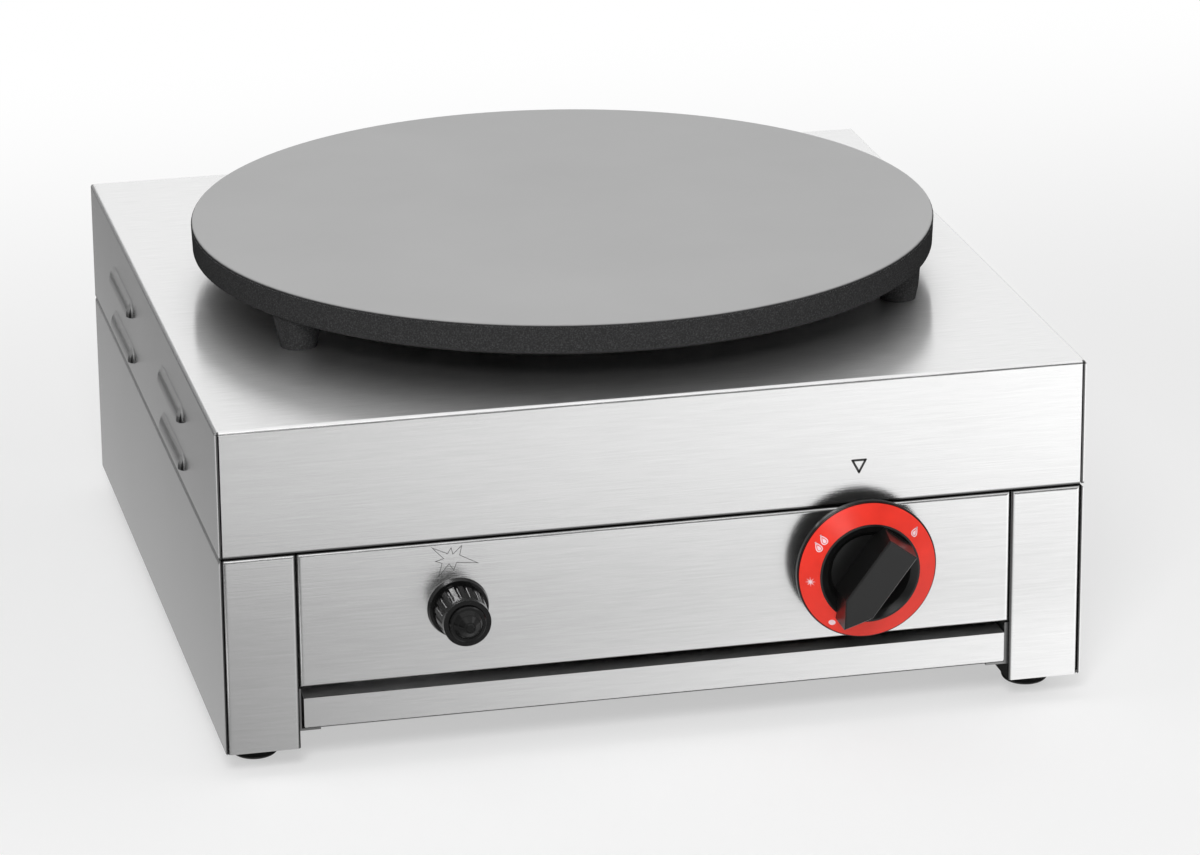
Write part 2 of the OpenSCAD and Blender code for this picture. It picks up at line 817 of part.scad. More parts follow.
module foot_rear_right() {
    rubber_foot(foot_places[3]);
}

foot_nut_h = 4;
foot_head_rim = 2;
foot_head_h = 3;

module foot_screws() {
    color(dark_steel) for (p = foot_places) at_foot(p) translate([0, 0, foot_h - foot_web]) mirror([0, 0, 1])
        pan_screw(foot_screw_r, foot_web + sheet + foot_nut_h + 1, foot_screw_r + foot_head_rim, foot_head_h);
}

module foot_nuts() {
    color(dark_steel) for (p = foot_places) at_foot(p) difference() {
        hex_bar(3.2 * foot_screw_r, base_z + sheet, base_z + sheet + foot_nut_h);
        drum(foot_screw_r + run_gap, base_z, base_z + sheet + foot_nut_h + 1);
    }
}

plate_bolt_depth = 14;
bolt_boss = 2;

// Cast plate: drawn-in rim, shallow recess below, three conical feet with bolt holes
module griddle_plate() {
    color(cast_iron) translate([0, burner_y, 0]) {
        low_r = plate_r - plate_draft;
        difference() {
            union() {
                translate([0, 0, plate_z]) rotate_extrude() {
                    polygon([
                        [0, plate_recess], [low_r - plate_ring_w, plate_recess],
                        [low_r - plate_ring_w + plate_recess, 0], [low_r, 0],
                        [plate_r, plate_t - plate_edge_r], [plate_r - plate_edge_r, plate_t], [0, plate_t]
                    ]);
                    translate([plate_r - plate_edge_r, plate_t - plate_edge_r]) circle(plate_edge_r);
                }
                intersection() {
                    for (a = lug_angles) rotate(a) translate([lug_r, 0, 0])
                        tapered_drum(lug_low_d / 2, lug_top_d / 2, hood_top, plate_z);
                    drum(low_r, hood_top, plate_z);
                }
                for (a = lug_angles) rotate(a) translate([lug_r, 0, 0])
                    drum(plate_bolt_r + bolt_boss, plate_z - 1, plate_z + plate_recess);
            }
            for (a = lug_angles) rotate(a) translate([lug_r, 0, 0])
                drum(plate_bolt_r + run_gap, hood_top - 1, hood_top + plate_bolt_depth);
        }
    }
}

plate_washer_t = 1.6;
plate_bolt_head = 5.5;

module plate_bolts() {
    head_top = frame_top - bar_t - plate_washer_t;
    color(steel) at_lugs() {
        hex_bar(3.25 * plate_bolt_r, head_top - plate_bolt_head, head_top);
        drum(plate_bolt_r, head_top - 1, hood_top + plate_bolt_depth - 1);
    }
}

module plate_washers() {
    washer_top = frame_top - bar_t;
    color(steel) at_lugs() difference() {
        drum(2 * plate_bolt_r, washer_top - plate_washer_t, washer_top);
        drum(plate_bolt_r + run_gap, washer_top - plate_washer_t - 1, washer_top + 1);
    }
}

hub_wall = 4;
arm_angles = [for (i = [0 : arm_count - 1]) -90 + (i + 0.5) * 360 / arm_count];
hub_bolt_r = 3;
hub_cap_h = 2;
hub_cap_in = 8;
arm_root = 2;
arm_cap_t = 2;
port_margin = 8;
mix_socket = 6;

// Places its children at the root of every arm, +X pointing along the arm
module at_arms() {
    for (a = arm_angles) translate([0, burner_y, arm_z]) rotate(a) children();
}

// Star burner: hollow hub, capped tubes and a row of ports on top of each tube
module burner() {
    arm_start = hub_r - hub_wall - arm_root;
    port_start = hub_r + port_margin;
    port_step = (star_r - port_margin - port_start) / (port_count - 1);
    color(dark_steel) difference() {
        union() {
            translate([0, burner_y, 0]) {
                drum(hub_r, hub_z, hub_top);
                tapered_drum(hub_r, hub_r - hub_cap_in, hub_top, hub_top + hub_cap_h);
            }
            at_arms() rotate([0, 90, 0]) drum(arm_r, arm_start, star_r);
        }
        translate([0, burner_y, 0]) drum(hub_r - hub_wall, hub_z + hub_wall, hub_top - hub_wall);
        at_arms() {
            rotate([0, 90, 0]) drum(arm_r - tube_wall, arm_start - 1, star_r - arm_cap_t);
            for (i = [0 : port_count - 1]) translate([port_start + i * port_step, 0, 0])
                drum(port_r, 0, arm_r + 1);
        }
        translate([0, burner_y, mix_z]) rotate([90, 0, 0])
            drum(mix_r + run_gap, hub_r - hub_wall - mix_socket, hub_r + 1);
        translate([0, burner_y, 0]) drum(hub_bolt_r + run_gap, hub_z - 1, hub_z + hub_wall + 1);
    }
}

air_window_l = 20;
air_window_h = 13;
air_window_in = 5;
air_window_y = mix_front_y + mix_end_t + air_window_in;
mix_end_in = 4;

// Mixing tube with an end wall for the injector and an air window on each side
module mixing_tube() {
    length = mix_l + hub_wall + mix_end_in;
    color(dark_steel) difference() {
        translate([0, mix_front_y, mix_z]) backwards() difference() {
            drum(mix_r, 0, length);
            drum(mix_r - tube_wall, mix_end_t, length + 1);
            drum(injector_thread_r + run_gap, -1, mix_end_t + 1);
        }
        translate([-mix_r - 1, air_window_y, mix_z - air_window_h / 2])
            cube([2 * mix_r + 2, air_window_l, air_window_h]);
    }
}

shutter_t = 1.5;
shutter_turn = 28;
shutter_rim = 3;

// Sleeve that partly covers the air windows
module air_shutter() {
    length = air_window_l + 2 * shutter_rim;
    color(steel) translate([0, air_window_y - shutter_rim, mix_z]) backwards() difference() {
        drum(mix_r + run_gap + shutter_t, 0, length);
        drum(mix_r + run_gap, -1, length + 1);
        rotate(shutter_turn) translate([-2 * mix_r, -air_window_h / 2, shutter_rim])
            cube([4 * mix_r, air_window_h, air_window_l]);
    }
}

jet_r = 0.6;
jet_tip_r = 2;
jet_l = 6;
injector_flats = 14;

// Brass injector: hexagon, thread in the end wall, conical jet and a spigot for the pipe
module injector() {
    jet_z = mix_end_t + jet_l;
    color(brass) translate([0, mix_front_y, mix_z]) backwards() difference() {
        union() {
            drum(injector_thread_r, -1, jet_z);
            tapered_drum(injector_thread_r, jet_tip_r, jet_z, jet_z + jet_l);
            hex_bar(injector_flats, -injector_hex_l, 0);
            drum(spigot_r, -injector_hex_l - injector_spigot_l, -injector_hex_l + 1);
        }
        drum(jet_r, 0, jet_z + jet_l + 1);
        drum(gas_bore_r, -injector_hex_l - injector_spigot_l - 1, mix_end_t);
    }
}

// Hat-shaped strap that carries the hub
module burner_bracket() {
    t = bar_t;
    rise = hub_z - shield_top;
    right = [
        [bracket_half_l - t, rise - t], [bracket_half_l - t, 0], [bracket_half_l + bracket_foot, 0],
        [bracket_half_l + bracket_foot, t], [bracket_half_l, t], [bracket_half_l, rise]
    ];
    left = [for (i = [len(right) - 1 : -1 : 0]) [-right[i].x, right[i].y]];
    color(dark_steel) difference() {
        translate([0, burner_y + bracket_w / 2, shield_top]) rotate([90, 0, 0])
            linear_extrude(bracket_w) polygon(concat(right, left));
        translate([0, burner_y, 0]) drum(hub_bolt_r + hole_gap, shield_top, hub_z + 1);
        for (s = [-1, 1]) translate([s * (bracket_half_l + bracket_foot / 2), burner_y, 0])
            drum(screw_r + hole_gap, shield_top - 1, shield_top + 2 * t);
    }
}

saddle_w = 42;
saddle_in = 46;
saddle_y = mix_front_y + saddle_in;
saddle_foot = 14;

// Upright with a half-round seat for the mixing tube
module tube_saddle() {
    color(dark_steel) difference() {
        translate([-saddle_w / 2, saddle_y, shield_top]) {
            cube([saddle_w, bar_t, mix_z - shield_top]);
            cube([saddle_w, saddle_foot, bar_t]);
        }
        translate([0, saddle_y - 1, mix_z]) backwards() cylinder(r = mix_r + run_gap, h = saddle_foot + 2);
    }
}

hub_head_rim = 2.5;
hub_head_h = 3.5;

module burner_screws() {
    color(steel) {
        translate([0, burner_y, hub_z - bar_t]) mirror([0, 0, 1])
            pan_screw(hub_bolt_r, bar_t + hub_wall, hub_bolt_r + hub_head_rim, hub_head_h);
        for (s = [-1, 1]) translate([s * (bracket_half_l + bracket_foot / 2), burner_y, shield_top + bar_t])
            pan_screw(screw_r, bar_t + shield_t + screw_end, screw_head_r, screw_head_h);
    }
}

key_w = 3;
key_out = 2;
ear_rim = 4;
thermo_boss_r = 6;
thermo_boss_l = 6;
thermo_boss_top = tap_body_r + thermo_boss_l;
capillary_in = 4;

// Brass tap: flange with ears, spring chamber, body, inlet tail, outlet and thermocouple bosses
module gas_tap() {
    color(brass) at_panel(tap_x, tap_z) difference() {
        union() {
            drum(bonnet_r, tap_face - tap_flange_t - bonnet_l, tap_face);
            for (s = [-1, 1]) translate([s * tap_ear, 0, 0])
                drum(tap_screw_r + ear_rim, tap_face - tap_flange_t, tap_face);
            translate([-tap_ear, -tap_screw_r - ear_rim, tap_face - tap_flange_t])
                cube([2 * tap_ear, 2 * (tap_screw_r + ear_rim), tap_flange_t]);
            drum(tap_body_r, tap_tail, tap_face - tap_flange_t - bonnet_l);
            drum(boss_r, tap_end, tap_tail);
            translate([0, 0, -outlet_depth]) rotate([0, -90, 0]) drum(boss_r, 0, outlet_x);
            translate([0, 0, -thermo_depth]) rotate([-90, 0, 0])
                drum(thermo_boss_r, 0, thermo_boss_top);
        }
        drum(spindle_r + run_gap, spindle_end - knob_travel - 1, tap_face + 1);
        drum(cavity_r, cavity_floor, cavity_top);
        translate([-key_w / 2 - hole_gap, 0, cavity_floor])
            cube([key_w + 2 * hole_gap, cavity_r + key_out, cavity_top - cavity_floor]);
        drum(gas_bore_r, tap_end - 1, -outlet_depth + gas_bore_r);
        translate([0, 0, -outlet_depth]) rotate([0, -90, 0]) drum(gas_bore_r, 0, outlet_x + 1);
        translate([0, 0, -thermo_depth]) rotate([-90, 0, 0])
            drum(capillary_r + run_gap, thermo_boss_top - capillary_in, thermo_boss_top + 1);
        for (s = [-1, 1]) translate([s * tap_ear, 0, 0])
            drum(tap_screw_r + run_gap, tap_face - tap_flange_t - 1, tap_face + 1);
    }
}

washer_face = cavity_top - 2 * hole_gap - spindle_flange_t;

tap_spring_r = 6.6;
tap_spring_wire = 1.1;
tap_spring_turns = 4;

module tap_spring() {
    length = washer_face - washer_t - cavity_floor - hole_gap;
    color(steel) at_panel(tap_x, tap_z) translate([0, 0, cavity_floor + hole_gap / 2])
        coil_spring("tap_spring", tap_spring_r, tap_spring_wire, length, tap_spring_turns);
}

// Keyed washer that rides on the spring and does not turn
module spindle_washer() {
    color(steel) at_panel(tap_x, tap_z) difference() {
        union() {
            drum(cavity_r - run_gap, washer_face - washer_t, washer_face);
            translate([-key_w / 2, 0, washer_face - washer_t])
                cube([key_w, cavity_r + key_out - hole_gap, washer_t]);
        }
        drum(spindle_r + run_gap, washer_face - washer_t - 1, washer_face + 1);
    }
}

flat_depth = 1;
flat_start = 4;
spindle_flat = spindle_r - flat_depth;
spindle_in_grip = 9;
spindle_out = dial_out + spindle_in_grip;
spindle_rim = 2;

// Spindle with a pressing flange and a flat for the knob
module tap_spindle() {
    color(brass) at_panel(tap_x, tap_z) difference() {
        union() {
            drum(spindle_r, spindle_end, spindle_out);
            drum(spindle_r + spindle_rim, washer_face + hole_gap, washer_face + hole_gap + spindle_flange_t);
        }
        rotate(180 - grip_clock) translate([-spindle_r, spindle_flat, flat_start])
            cube([2 * spindle_r, spindle_r, spindle_out]);
    }
}

tap_head_rim = 1.6;
tap_head_h = 2;

module tap_screws() {
    color(steel) for (s = [-1, 1]) at_panel(tap_x + s * tap_ear, tap_z)
        pan_screw(tap_screw_r, sheet + tap_flange_t, tap_screw_r + tap_head_rim, tap_head_h);
}

knob_lift = 2;
knob_back = knob_travel + knob_lift;
knob_hub_r = 12;
grip_edge = 0.8;
grip_shoulder = 16.5;
grip_lean = 2;
scoop_r = 22;
scoop_in_r = 9;
scoop_slope = 3;
scoop_depth = 5;
scoop_lip = 1.5;
face_rim = 0.3;
face_rim_w = 1;

// Outline of the grip, drawn in by a margin, with its point towards -Y
module grip_outline(margin, tail) {
    half = grip_half_w - margin;
    polygon([
        [-half, tail - margin], [half, tail - margin],
        [half, -grip_shoulder], [0, -grip_tip + 1.5 * margin], [-half, -grip_shoulder]
    ]);
}

// Grip: a pointed bar, leaning in at its blunt end, with a bevelled top
module grip(base) {
    foot = grip_tail + grip_lean;
    bevel = grip_out - grip_edge;
    intersection() {
        translate([0, 0, base]) linear_extrude(bevel - base) grip_outline(0, foot);
        rotate([90, 0, 90]) translate([0, 0, -2 * grip_half_w]) linear_extrude(4 * grip_half_w) polygon([
            [-2 * grip_tip, base - 1], [foot + 1, base - 1], [foot + 1, dial_out], [foot, dial_out],
            [grip_tail, bevel], [grip_tail, bevel + 1], [-2 * grip_tip, bevel + 1]
        ]);
    }
    hull() {
        translate([0, 0, bevel - eps]) linear_extrude(eps) grip_outline(0, grip_tail);
        translate([0, 0, grip_out - eps]) linear_extrude(eps) grip_outline(grip_edge, grip_tail);
    }
}

dial_edge = 0.4;
dial_in_r = dial_in_d / 2;
dial_r = skirt_d / 2 - dial_edge;

// Distance of the dial's sloping face from the panel at a radius
function dial_face(r) = dial_out - dial_fall * (r - dial_in_r) / (dial_r - dial_in_r);

// Ring on the dial's slope from one radius to another, from one depth below the face to another
module dial_layer(r1, r2, low, high) {
    rotate_extrude() polygon([
        [r1, dial_face(r1) - low], [r2, dial_face(r2) - low],
        [r2, dial_face(r2) - high], [r1, dial_face(r1) - high]
    ]);
}

// Knob: hub, sloping skirt, dished face and a pointed bar grip
module knob() {
    cup_r = dial_in_r - run_gap;
    cup_floor = dial_out - scoop_depth;
    cup_back = cup_floor - skirt_t - dial_t;
    color(black_plastic) at_panel(tap_x, tap_z) difference() {
        union() {
            drum(knob_hub_r, knob_back, cup_back + 1);
            difference() {
                union() {
                    dial_layer(dial_in_r - 2, skirt_d / 2, dial_t + skirt_t, dial_t);
                    drum(cup_r, cup_back, dial_out + face_rim);
                }
                translate([0, 0, cup_floor]) rotate_extrude() polygon([
                    [scoop_in_r, 0], [scoop_r - scoop_slope, 0], [scoop_r, scoop_depth - scoop_lip],
                    [cup_r - face_rim_w, scoop_depth + face_rim],
                    [cup_r - face_rim_w, scoop_depth + 1], [scoop_in_r, scoop_depth + 1]
                ]);
            }
            rotate(180 - grip_clock) grip(cup_floor - 0.5);
        }
        difference() {
            drum(spindle_r + run_gap, knob_back - 1, spindle_out + hole_gap);
            rotate(180 - grip_clock) translate([-2 * spindle_r, spindle_flat + run_gap, knob_back - 1])
                cube([4 * spindle_r, spindle_r, spindle_out]);
        }
    }
}

// Red ring on the skirt, with a notch for the grip's point
module dial_ring() {
    color(dial_red) at_panel(tap_x, tap_z) difference() {
        dial_layer(dial_in_r, dial_r, dial_t, 0);
        rotate(180 - grip_clock) translate([0, 0, dial_out - dial_fall - dial_t - 1])
            linear_extrude(dial_fall + dial_t + 2) grip_outline(-run_gap, grip_tail);
    }
}

// Places its children on the gas line's axis at the back face, +Z pointing out of it
module at_inlet() {
    translate([tap_x, back_y, base_z + tap_z]) backwards() children();
}

inlet_bore_r = 6;
inlet_hex_rim = 2.5;
locknut_rim = 4.5;

module gas_inlet() {
    neck_end = -sheet - inlet_neck_l;
    color(brass) at_inlet() difference() {
        union() {
            hex_bar(2 * (inlet_thread_r + inlet_hex_rim), 0, inlet_hex_l);
            drum(inlet_thread_r, neck_end, inlet_hex_l + inlet_thread_l);
            drum(boss_r, neck_end - inlet_spigot_l, neck_end);
        }
        drum(inlet_bore_r, neck_end, inlet_hex_l + inlet_thread_l + 1);
        drum(gas_bore_r + 1, neck_end - inlet_spigot_l - 1, neck_end + 1);
    }
}

module inlet_locknut() {
    color(brass) at_inlet() difference() {
        hex_bar(2 * (inlet_thread_r + locknut_rim), -sheet - locknut_l, -sheet);
        drum(inlet_thread_r + run_gap, -sheet - locknut_l - 1, 0);
    }
}

tap_end_y = front_y - tap_end;
pipe_wall = 1;

module supply_pipe() {
    a = [tap_x, tap_end_y, base_z + tap_z];
    b = [tap_x, inlet_end_y, base_z + tap_z];
    color(copper) difference() {
        rod(a, b, supply_pipe_r);
        rod(a, b, supply_pipe_r - pipe_wall);
    }
}

burner_pipe_y = front_y + outlet_depth;
injector_end_y = mix_front_y - injector_hex_l - injector_spigot_l;

module burner_pipe() {
    route = [
        [tap_x - outlet_x, burner_pipe_y, base_z + tap_z], [0, burner_pipe_y, base_z + tap_z],
        [0, burner_pipe_y, mix_z], [0, injector_end_y, mix_z]
    ];
    color(copper) bent_pipe(route, pipe_bend, burner_pipe_r, burner_pipe_r - pipe_wall);
}

// Union nut over a spigot's end and the pipe that meets it, +Z towards the spigot
module pipe_nut(pipe_r, on_r) {
    difference() {
        hex_bar(2 * (on_r + nut_wall), -nut_grip, nut_grip);
        drum(on_r + run_gap, 0, nut_grip + 1);
        drum(pipe_r + run_gap, -nut_grip - 1, 1);
    }
}

module pipe_nuts() {
    color(brass) {
        translate([tap_x, tap_end_y, base_z + tap_z]) rotate([90, 0, 0]) pipe_nut(supply_pipe_r, boss_r);
        translate([tap_x, inlet_end_y, base_z + tap_z]) backwards() pipe_nut(supply_pipe_r, boss_r);
        translate([tap_x - outlet_x, burner_pipe_y, base_z + tap_z]) rotate([0, 90, 0])
            pipe_nut(burner_pipe_r, boss_r);
        translate([0, injector_end_y, mix_z]) backwards() pipe_nut(burner_pipe_r, spigot_r);
    }
}

thermo_r = 3;
ceramic_r = 4;
probe_margin = 10;
probe_back = 10;
probe_front = 8;
probe_foot = 14;
probe_seat = 2;

// Strip that stands on the heat shield and holds the electrode and the thermocouple
module electrode_bracket() {
    mid_x = (probe_x + thermo_x) / 2;
    half = (thermo_x - probe_x) / 2 + probe_margin;
    back = probe_y + probe_back;
    color(steel) difference() {
        union() {
            translate([mid_x - half, back, shield_top]) cube([2 * half, probe_bracket_t, tab_z - shield_top]);
            translate([mid_x - half, back, shield_top]) cube([2 * half, probe_foot, probe_bracket_t]);
            translate([mid_x - half, probe_y - probe_front, tab_z - probe_bracket_t])
                cube([2 * half, probe_back + probe_front + probe_bracket_t, probe_bracket_t]);
        }
        translate([probe_x, probe_y, 0]) drum(ceramic_r + run_gap, tab_z - 2 * probe_bracket_t, tab_z + 1);
        translate([thermo_x, probe_y, 0]) drum(thermo_r + run_gap, tab_z - 2 * probe_bracket_t, tab_z + 1);
    }
}

probe_low = lead_z + lead_bend + lead_r;
spark_r = 1;
spark_bend = 3;
spark_reach = 8;
seat_h = 4;
tip_h = 4;
ferrule_l = 6;

// Ceramic rod with a seat on its bracket and a spark wire bent towards the burner arm
module spark_electrode() {
    wire_top = arm_z + arm_r + spark_bend;
    color(ceramic_white) translate([probe_x, probe_y, 0]) difference() {
        union() {
            drum(ceramic_r, probe_low, arm_z);
            drum(ceramic_r + probe_seat, tab_z, tab_z + seat_h);
            tapered_drum(ceramic_r, ceramic_r / 2, arm_z, arm_z + tip_h);
            bent_rod([[0, 0, arm_z], [0, 0, wire_top], [spark_reach, 0, wire_top]], spark_bend, spark_r);
        }
        drum(lead_r / 2 + run_gap, probe_low - 1, probe_low + ferrule_l);
    }
}

thermo_rise = 4;
thermo_tip = 2;
thermo_tail = 12;
thermo_bend = 7;
thermo_top = arm_z + arm_r + thermo_rise;
capillary_y = front_y + thermo_depth;
capillary_z = shield_z + shield_lip + capillary_r + wire_gap;

// Thermocouple with a seat on the bracket and its capillary down to the tap
module thermocouple() {
    color(copper) {
        translate([thermo_x, probe_y, 0]) {
            drum(thermo_r, tab_z - thermo_tail, thermo_top - thermo_tip);
            tapered_drum(thermo_r, thermo_r / 2, thermo_top - thermo_tip, thermo_top);
            drum(thermo_r + probe_seat, tab_z, tab_z + seat_h);
        }
        bent_rod([
            [thermo_x, probe_y, tab_z - thermo_tail + eps], [thermo_x, probe_y, capillary_z],
            [thermo_x, capillary_y, capillary_z], [tap_x, capillary_y, capillary_z],
            [tap_x, capillary_y, base_z + tap_z + thermo_boss_top - capillary_in + wire_gap / 2]
        ], thermo_bend, capillary_r);
    }
}

igniter_end_y = front_y + sheet + igniter_body_l;
lead_out = 9;

// High-tension lead from the igniter's terminal to the electrode's foot
module ignition_lead() {
    lead_y = shield_y - lead_out;
    route = [
        [igniter_x, igniter_end_y, base_z + igniter_z], [igniter_x, lead_y, base_z + igniter_z],
        [igniter_x, lead_y, lead_z], [probe_x, lead_y, lead_z],
        [probe_x, probe_y, lead_z], [probe_x, probe_y, probe_low]
    ];
    color(black_rubber) {
        bent_rod(route, lead_bend, lead_r);
        translate([probe_x, probe_y, 0]) drum(lead_r / 2, probe_low - 1, probe_low + ferrule_l - 1);
    }
}

shoulder_t = 4;
cone_l = 8;
cone_r = 5;
stem_bore_l = 22;

// Igniter body: thread through the panel, shoulder behind it, barrel and terminal cone
module igniter_body() {
    color(black_plastic) at_panel(igniter_x, igniter_z) difference() {
        union() {
            drum(igniter_thread_r, -sheet - 1, thread_out);
            drum(igniter_shoulder_r, -sheet - shoulder_t, -sheet);
            drum(igniter_barrel_r, -sheet - igniter_body_l + cone_l, -sheet - shoulder_t + 1);
            tapered_drum(cone_r, igniter_thread_r, -sheet - igniter_body_l, -sheet - igniter_body_l + cone_l);
        }
        drum(stem_r + run_gap, -sheet - stem_bore_l, thread_out + 1);
    }
}

collar_l = 3;
nut_step = 2.2;
nut_edge = 0.8;
flute_r = 1.3;
flute_in = 0.5;

// Fluted nut with a flange on the panel and a smooth collar at its front
module igniter_nut() {
    flute_top = nut_out - collar_l;
    foot_r = igniter_flange_d / 2 - nut_step;
    collar_r = nut_collar_d / 2;
    slope = atan((foot_r - collar_r) / (flute_top - nut_flange_t));
    color(black_plastic) at_panel(igniter_x, igniter_z) difference() {
        union() {
            tapered_drum(igniter_flange_d / 2, igniter_flange_d / 2 - nut_edge, 0, nut_flange_t);
            tapered_drum(foot_r, collar_r, nut_flange_t - 1, flute_top);
            drum(collar_r, flute_top, nut_out);
        }
        drum(igniter_thread_r + run_gap, -1, thread_out);
        drum(button_d / 2 + hole_gap, thread_out, nut_out + 1);
        for (i = [0 : flute_count - 1]) rotate(i * 360 / flute_count)
            translate([foot_r + flute_in, 0, nut_flange_t + flute_r]) rotate([0, -slope, 0])
                cylinder(r = flute_r, h = flute_top - nut_flange_t - 2 * flute_r);
    }
}

// Stepped button on a stem: lower radius, upper radius and top of each step
step_rise = 2;
button_edge = 0.6;
cap_edge = 0.8;
button_steps = [
    [button_d / 2 - 1.8, 6, nut_out + step_rise + 2.4],
    [5.6, 3, button_out - cap_edge],
    [2.4, 1.9, button_out]
];

module igniter_button() {
    rim = nut_out + step_rise;
    r = button_d / 2;
    color(black_plastic) at_panel(igniter_x, igniter_z) {
        drum(stem_r, -sheet - stem_bore_l + button_travel + 1, button_foot + 1);
        drum(r, button_foot, rim - button_edge);
        tapered_drum(r, r - button_edge, rim - button_edge, rim);
        for (i = [0 : len(button_steps) - 1]) let (step = button_steps[i])
            tapered_drum(step[0], step[1], i == 0 ? rim : button_steps[i - 1][2], step[2]);
    }
}

igniter_spring_r = 6.2;
igniter_spring_wire = 1;
igniter_spring_turns = 3;

module igniter_spring() {
    length = button_foot - thread_out - hole_gap;
    color(steel) at_panel(igniter_x, igniter_z) translate([0, 0, thread_out + hole_gap / 2])
        coil_spring("igniter_spring", igniter_spring_r, igniter_spring_wire, length, igniter_spring_turns);
}

module panel_screws() {
    color(steel) for (s = [0, 1]) mirror([s, 0, 0]) for (z = panel_screw_zs)
        translate([post_in_x + sheet, panel_screw_y, z]) rotate([0, 90, 0])
            pan_screw(screw_r, 2 * sheet + edge_gap + screw_end, screw_head_r, screw_head_h);
}

module rear_screws() {
    color(steel) for (s = [-1, 1]) for (z = rear_screw_zs) translate([s * rear_screw_x, back_y, z])
        backwards() pan_screw(screw_r, sheet + frame_gap + bar_t + screw_end, screw_head_r, screw_head_h);
}

module hood_screws() {
    color(steel) for (x = hood_screw_xs) translate([x, back_y, hood_screw_z])
        backwards() pan_screw(screw_r, sheet + frame_gap + bar_t + screw_end, screw_head_r, screw_head_h);
}

hood();
side_panel_left();
side_panel_right();
front_post_left();
front_post_right();
control_panel();
rear_panel();
inner_frame();
heat_shield();
tray_runner_left();
tray_runner_right();
drip_tray();
foot_front_left();
foot_front_right();
foot_rear_left();
foot_rear_right();
foot_screws();
foot_nuts();
griddle_plate();
plate_bolts();
plate_washers();
burner();
mixing_tube();
air_shutter();
injector();
burner_bracket();
tube_saddle();
burner_screws();
gas_tap();
tap_spring();
spindle_washer();
tap_spindle();
tap_screws();
knob();
dial_ring();
gas_inlet();
inlet_locknut();
supply_pipe();
burner_pipe();
pipe_nuts();
thermocouple();
spark_electrode();
electrode_bracket();
ignition_lead();
igniter_body();
igniter_nut();
igniter_button();
igniter_spring();
panel_screws();
rear_screws();
hood_screws();
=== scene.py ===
"""Dresses the gas crepe maker: finishes, a squared plate rim, coil springs, printed signs and a studio."""

import json
import math

import bmesh
import bpy
from bpy.props import FloatProperty, FloatVectorProperty, IntProperty, PointerProperty
from mathutils import Matrix, Vector


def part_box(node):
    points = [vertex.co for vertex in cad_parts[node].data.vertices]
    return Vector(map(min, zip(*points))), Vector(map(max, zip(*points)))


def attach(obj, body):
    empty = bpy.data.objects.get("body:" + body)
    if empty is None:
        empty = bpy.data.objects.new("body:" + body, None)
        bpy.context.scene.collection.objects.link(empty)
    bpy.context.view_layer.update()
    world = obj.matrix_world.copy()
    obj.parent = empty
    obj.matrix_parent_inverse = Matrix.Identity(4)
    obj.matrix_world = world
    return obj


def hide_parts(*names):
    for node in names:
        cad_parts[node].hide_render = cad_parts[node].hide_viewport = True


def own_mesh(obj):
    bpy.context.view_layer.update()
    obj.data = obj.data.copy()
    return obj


bl_info = {
    "name": "Gas crepe maker",
    "version": (1, 0, 0),
    "blender": (4, 5, 0),
    "location": "View3D > Sidebar > Crepe maker",
    "description": "Finishes, signs and a studio for a gas crepe maker",
    "category": "Object",
}

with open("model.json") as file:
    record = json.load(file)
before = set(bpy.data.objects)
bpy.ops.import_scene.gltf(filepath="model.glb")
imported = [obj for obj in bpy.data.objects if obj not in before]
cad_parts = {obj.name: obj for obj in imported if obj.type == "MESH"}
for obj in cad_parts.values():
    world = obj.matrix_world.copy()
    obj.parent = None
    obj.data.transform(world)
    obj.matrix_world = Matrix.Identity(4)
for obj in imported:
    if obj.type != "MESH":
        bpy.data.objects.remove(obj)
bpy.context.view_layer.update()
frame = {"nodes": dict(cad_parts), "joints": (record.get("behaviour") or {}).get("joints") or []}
NODES = frame["nodes"]

CASING_SHEETS = (
    "hood", "side_panel_left", "side_panel_right", "control_panel", "rear_panel", "drip_tray",
)
FRONT_POSTS = ("front_post_left", "front_post_right")
TRAY_RUNNERS = ("tray_runner_left", "tray_runner_right")
BRIGHT_FITTINGS = (
    "plate_bolts", "plate_washers", "air_shutter", "burner_screws", "spindle_washer", "tap_screws",
    "electrode_bracket", "panel_screws", "rear_screws", "hood_screws",
)
DULL_STEEL = (
    "inner_frame", "heat_shield", "foot_screws", "foot_nuts", "burner", "mixing_tube", "burner_bracket",
    "tube_saddle",
)
BRASS_FITTINGS = ("injector", "gas_tap", "tap_spindle", "gas_inlet", "inlet_locknut", "pipe_nuts")
COPPER_LINES = ("supply_pipe", "burner_pipe", "thermocouple")
RUBBER_FEET = ("foot_front_left", "foot_front_right", "foot_rear_left", "foot_rear_right")
MOULDED_BLACK = ("igniter_body", "igniter_nut", "igniter_button")

# Share of a normal along an axis at which a face begins to face that way, and at which it does
FACING = (0.5, 0.9)
LOUVRE_FACING = (0.3, 0.6)

# Distances, in metres, over which a line of painted shade on the sheets ends or begins
SEAM_SHADE = (0.0008, 0.0018)
CORNER_SHADE = (0.0006, 0.0009)
LOUVRE_SHADE = (0.0004, 0.0008)

# How far the hood's open corners, where shade is painted, lie inside its sides, and the posts' outer seams
# outside the posts
CORNER_INSET = 0.0013
POST_SEAM = 0.0006

# Share of the open sheet's colour that is left in a line of painted shade, and the tone of the painted shade
# that fills the rest
PAINTED_SHADE_SHEET_SHARE = 0.12
PAINTED_SHADE_TONE = 0.02

# Share of hazy reflection on a wall, what wiping adds to it on a top, and the roughness of the haze
WALL_HAZE = 0.14
WIPED_HAZE = 0.42
HAZE_ROUGHNESS = 0.45
# Share of its roughness that a top's polish loses, and the tone of the tray runners' sheet, darkened as
# painted shade in the gaps beside the tray
WIPED_POLISH = 0.675
RUNNER_SHADE_TONE = 0.35

# Width of the black line round the dial
DIAL_EDGE_LINE = 0.0006

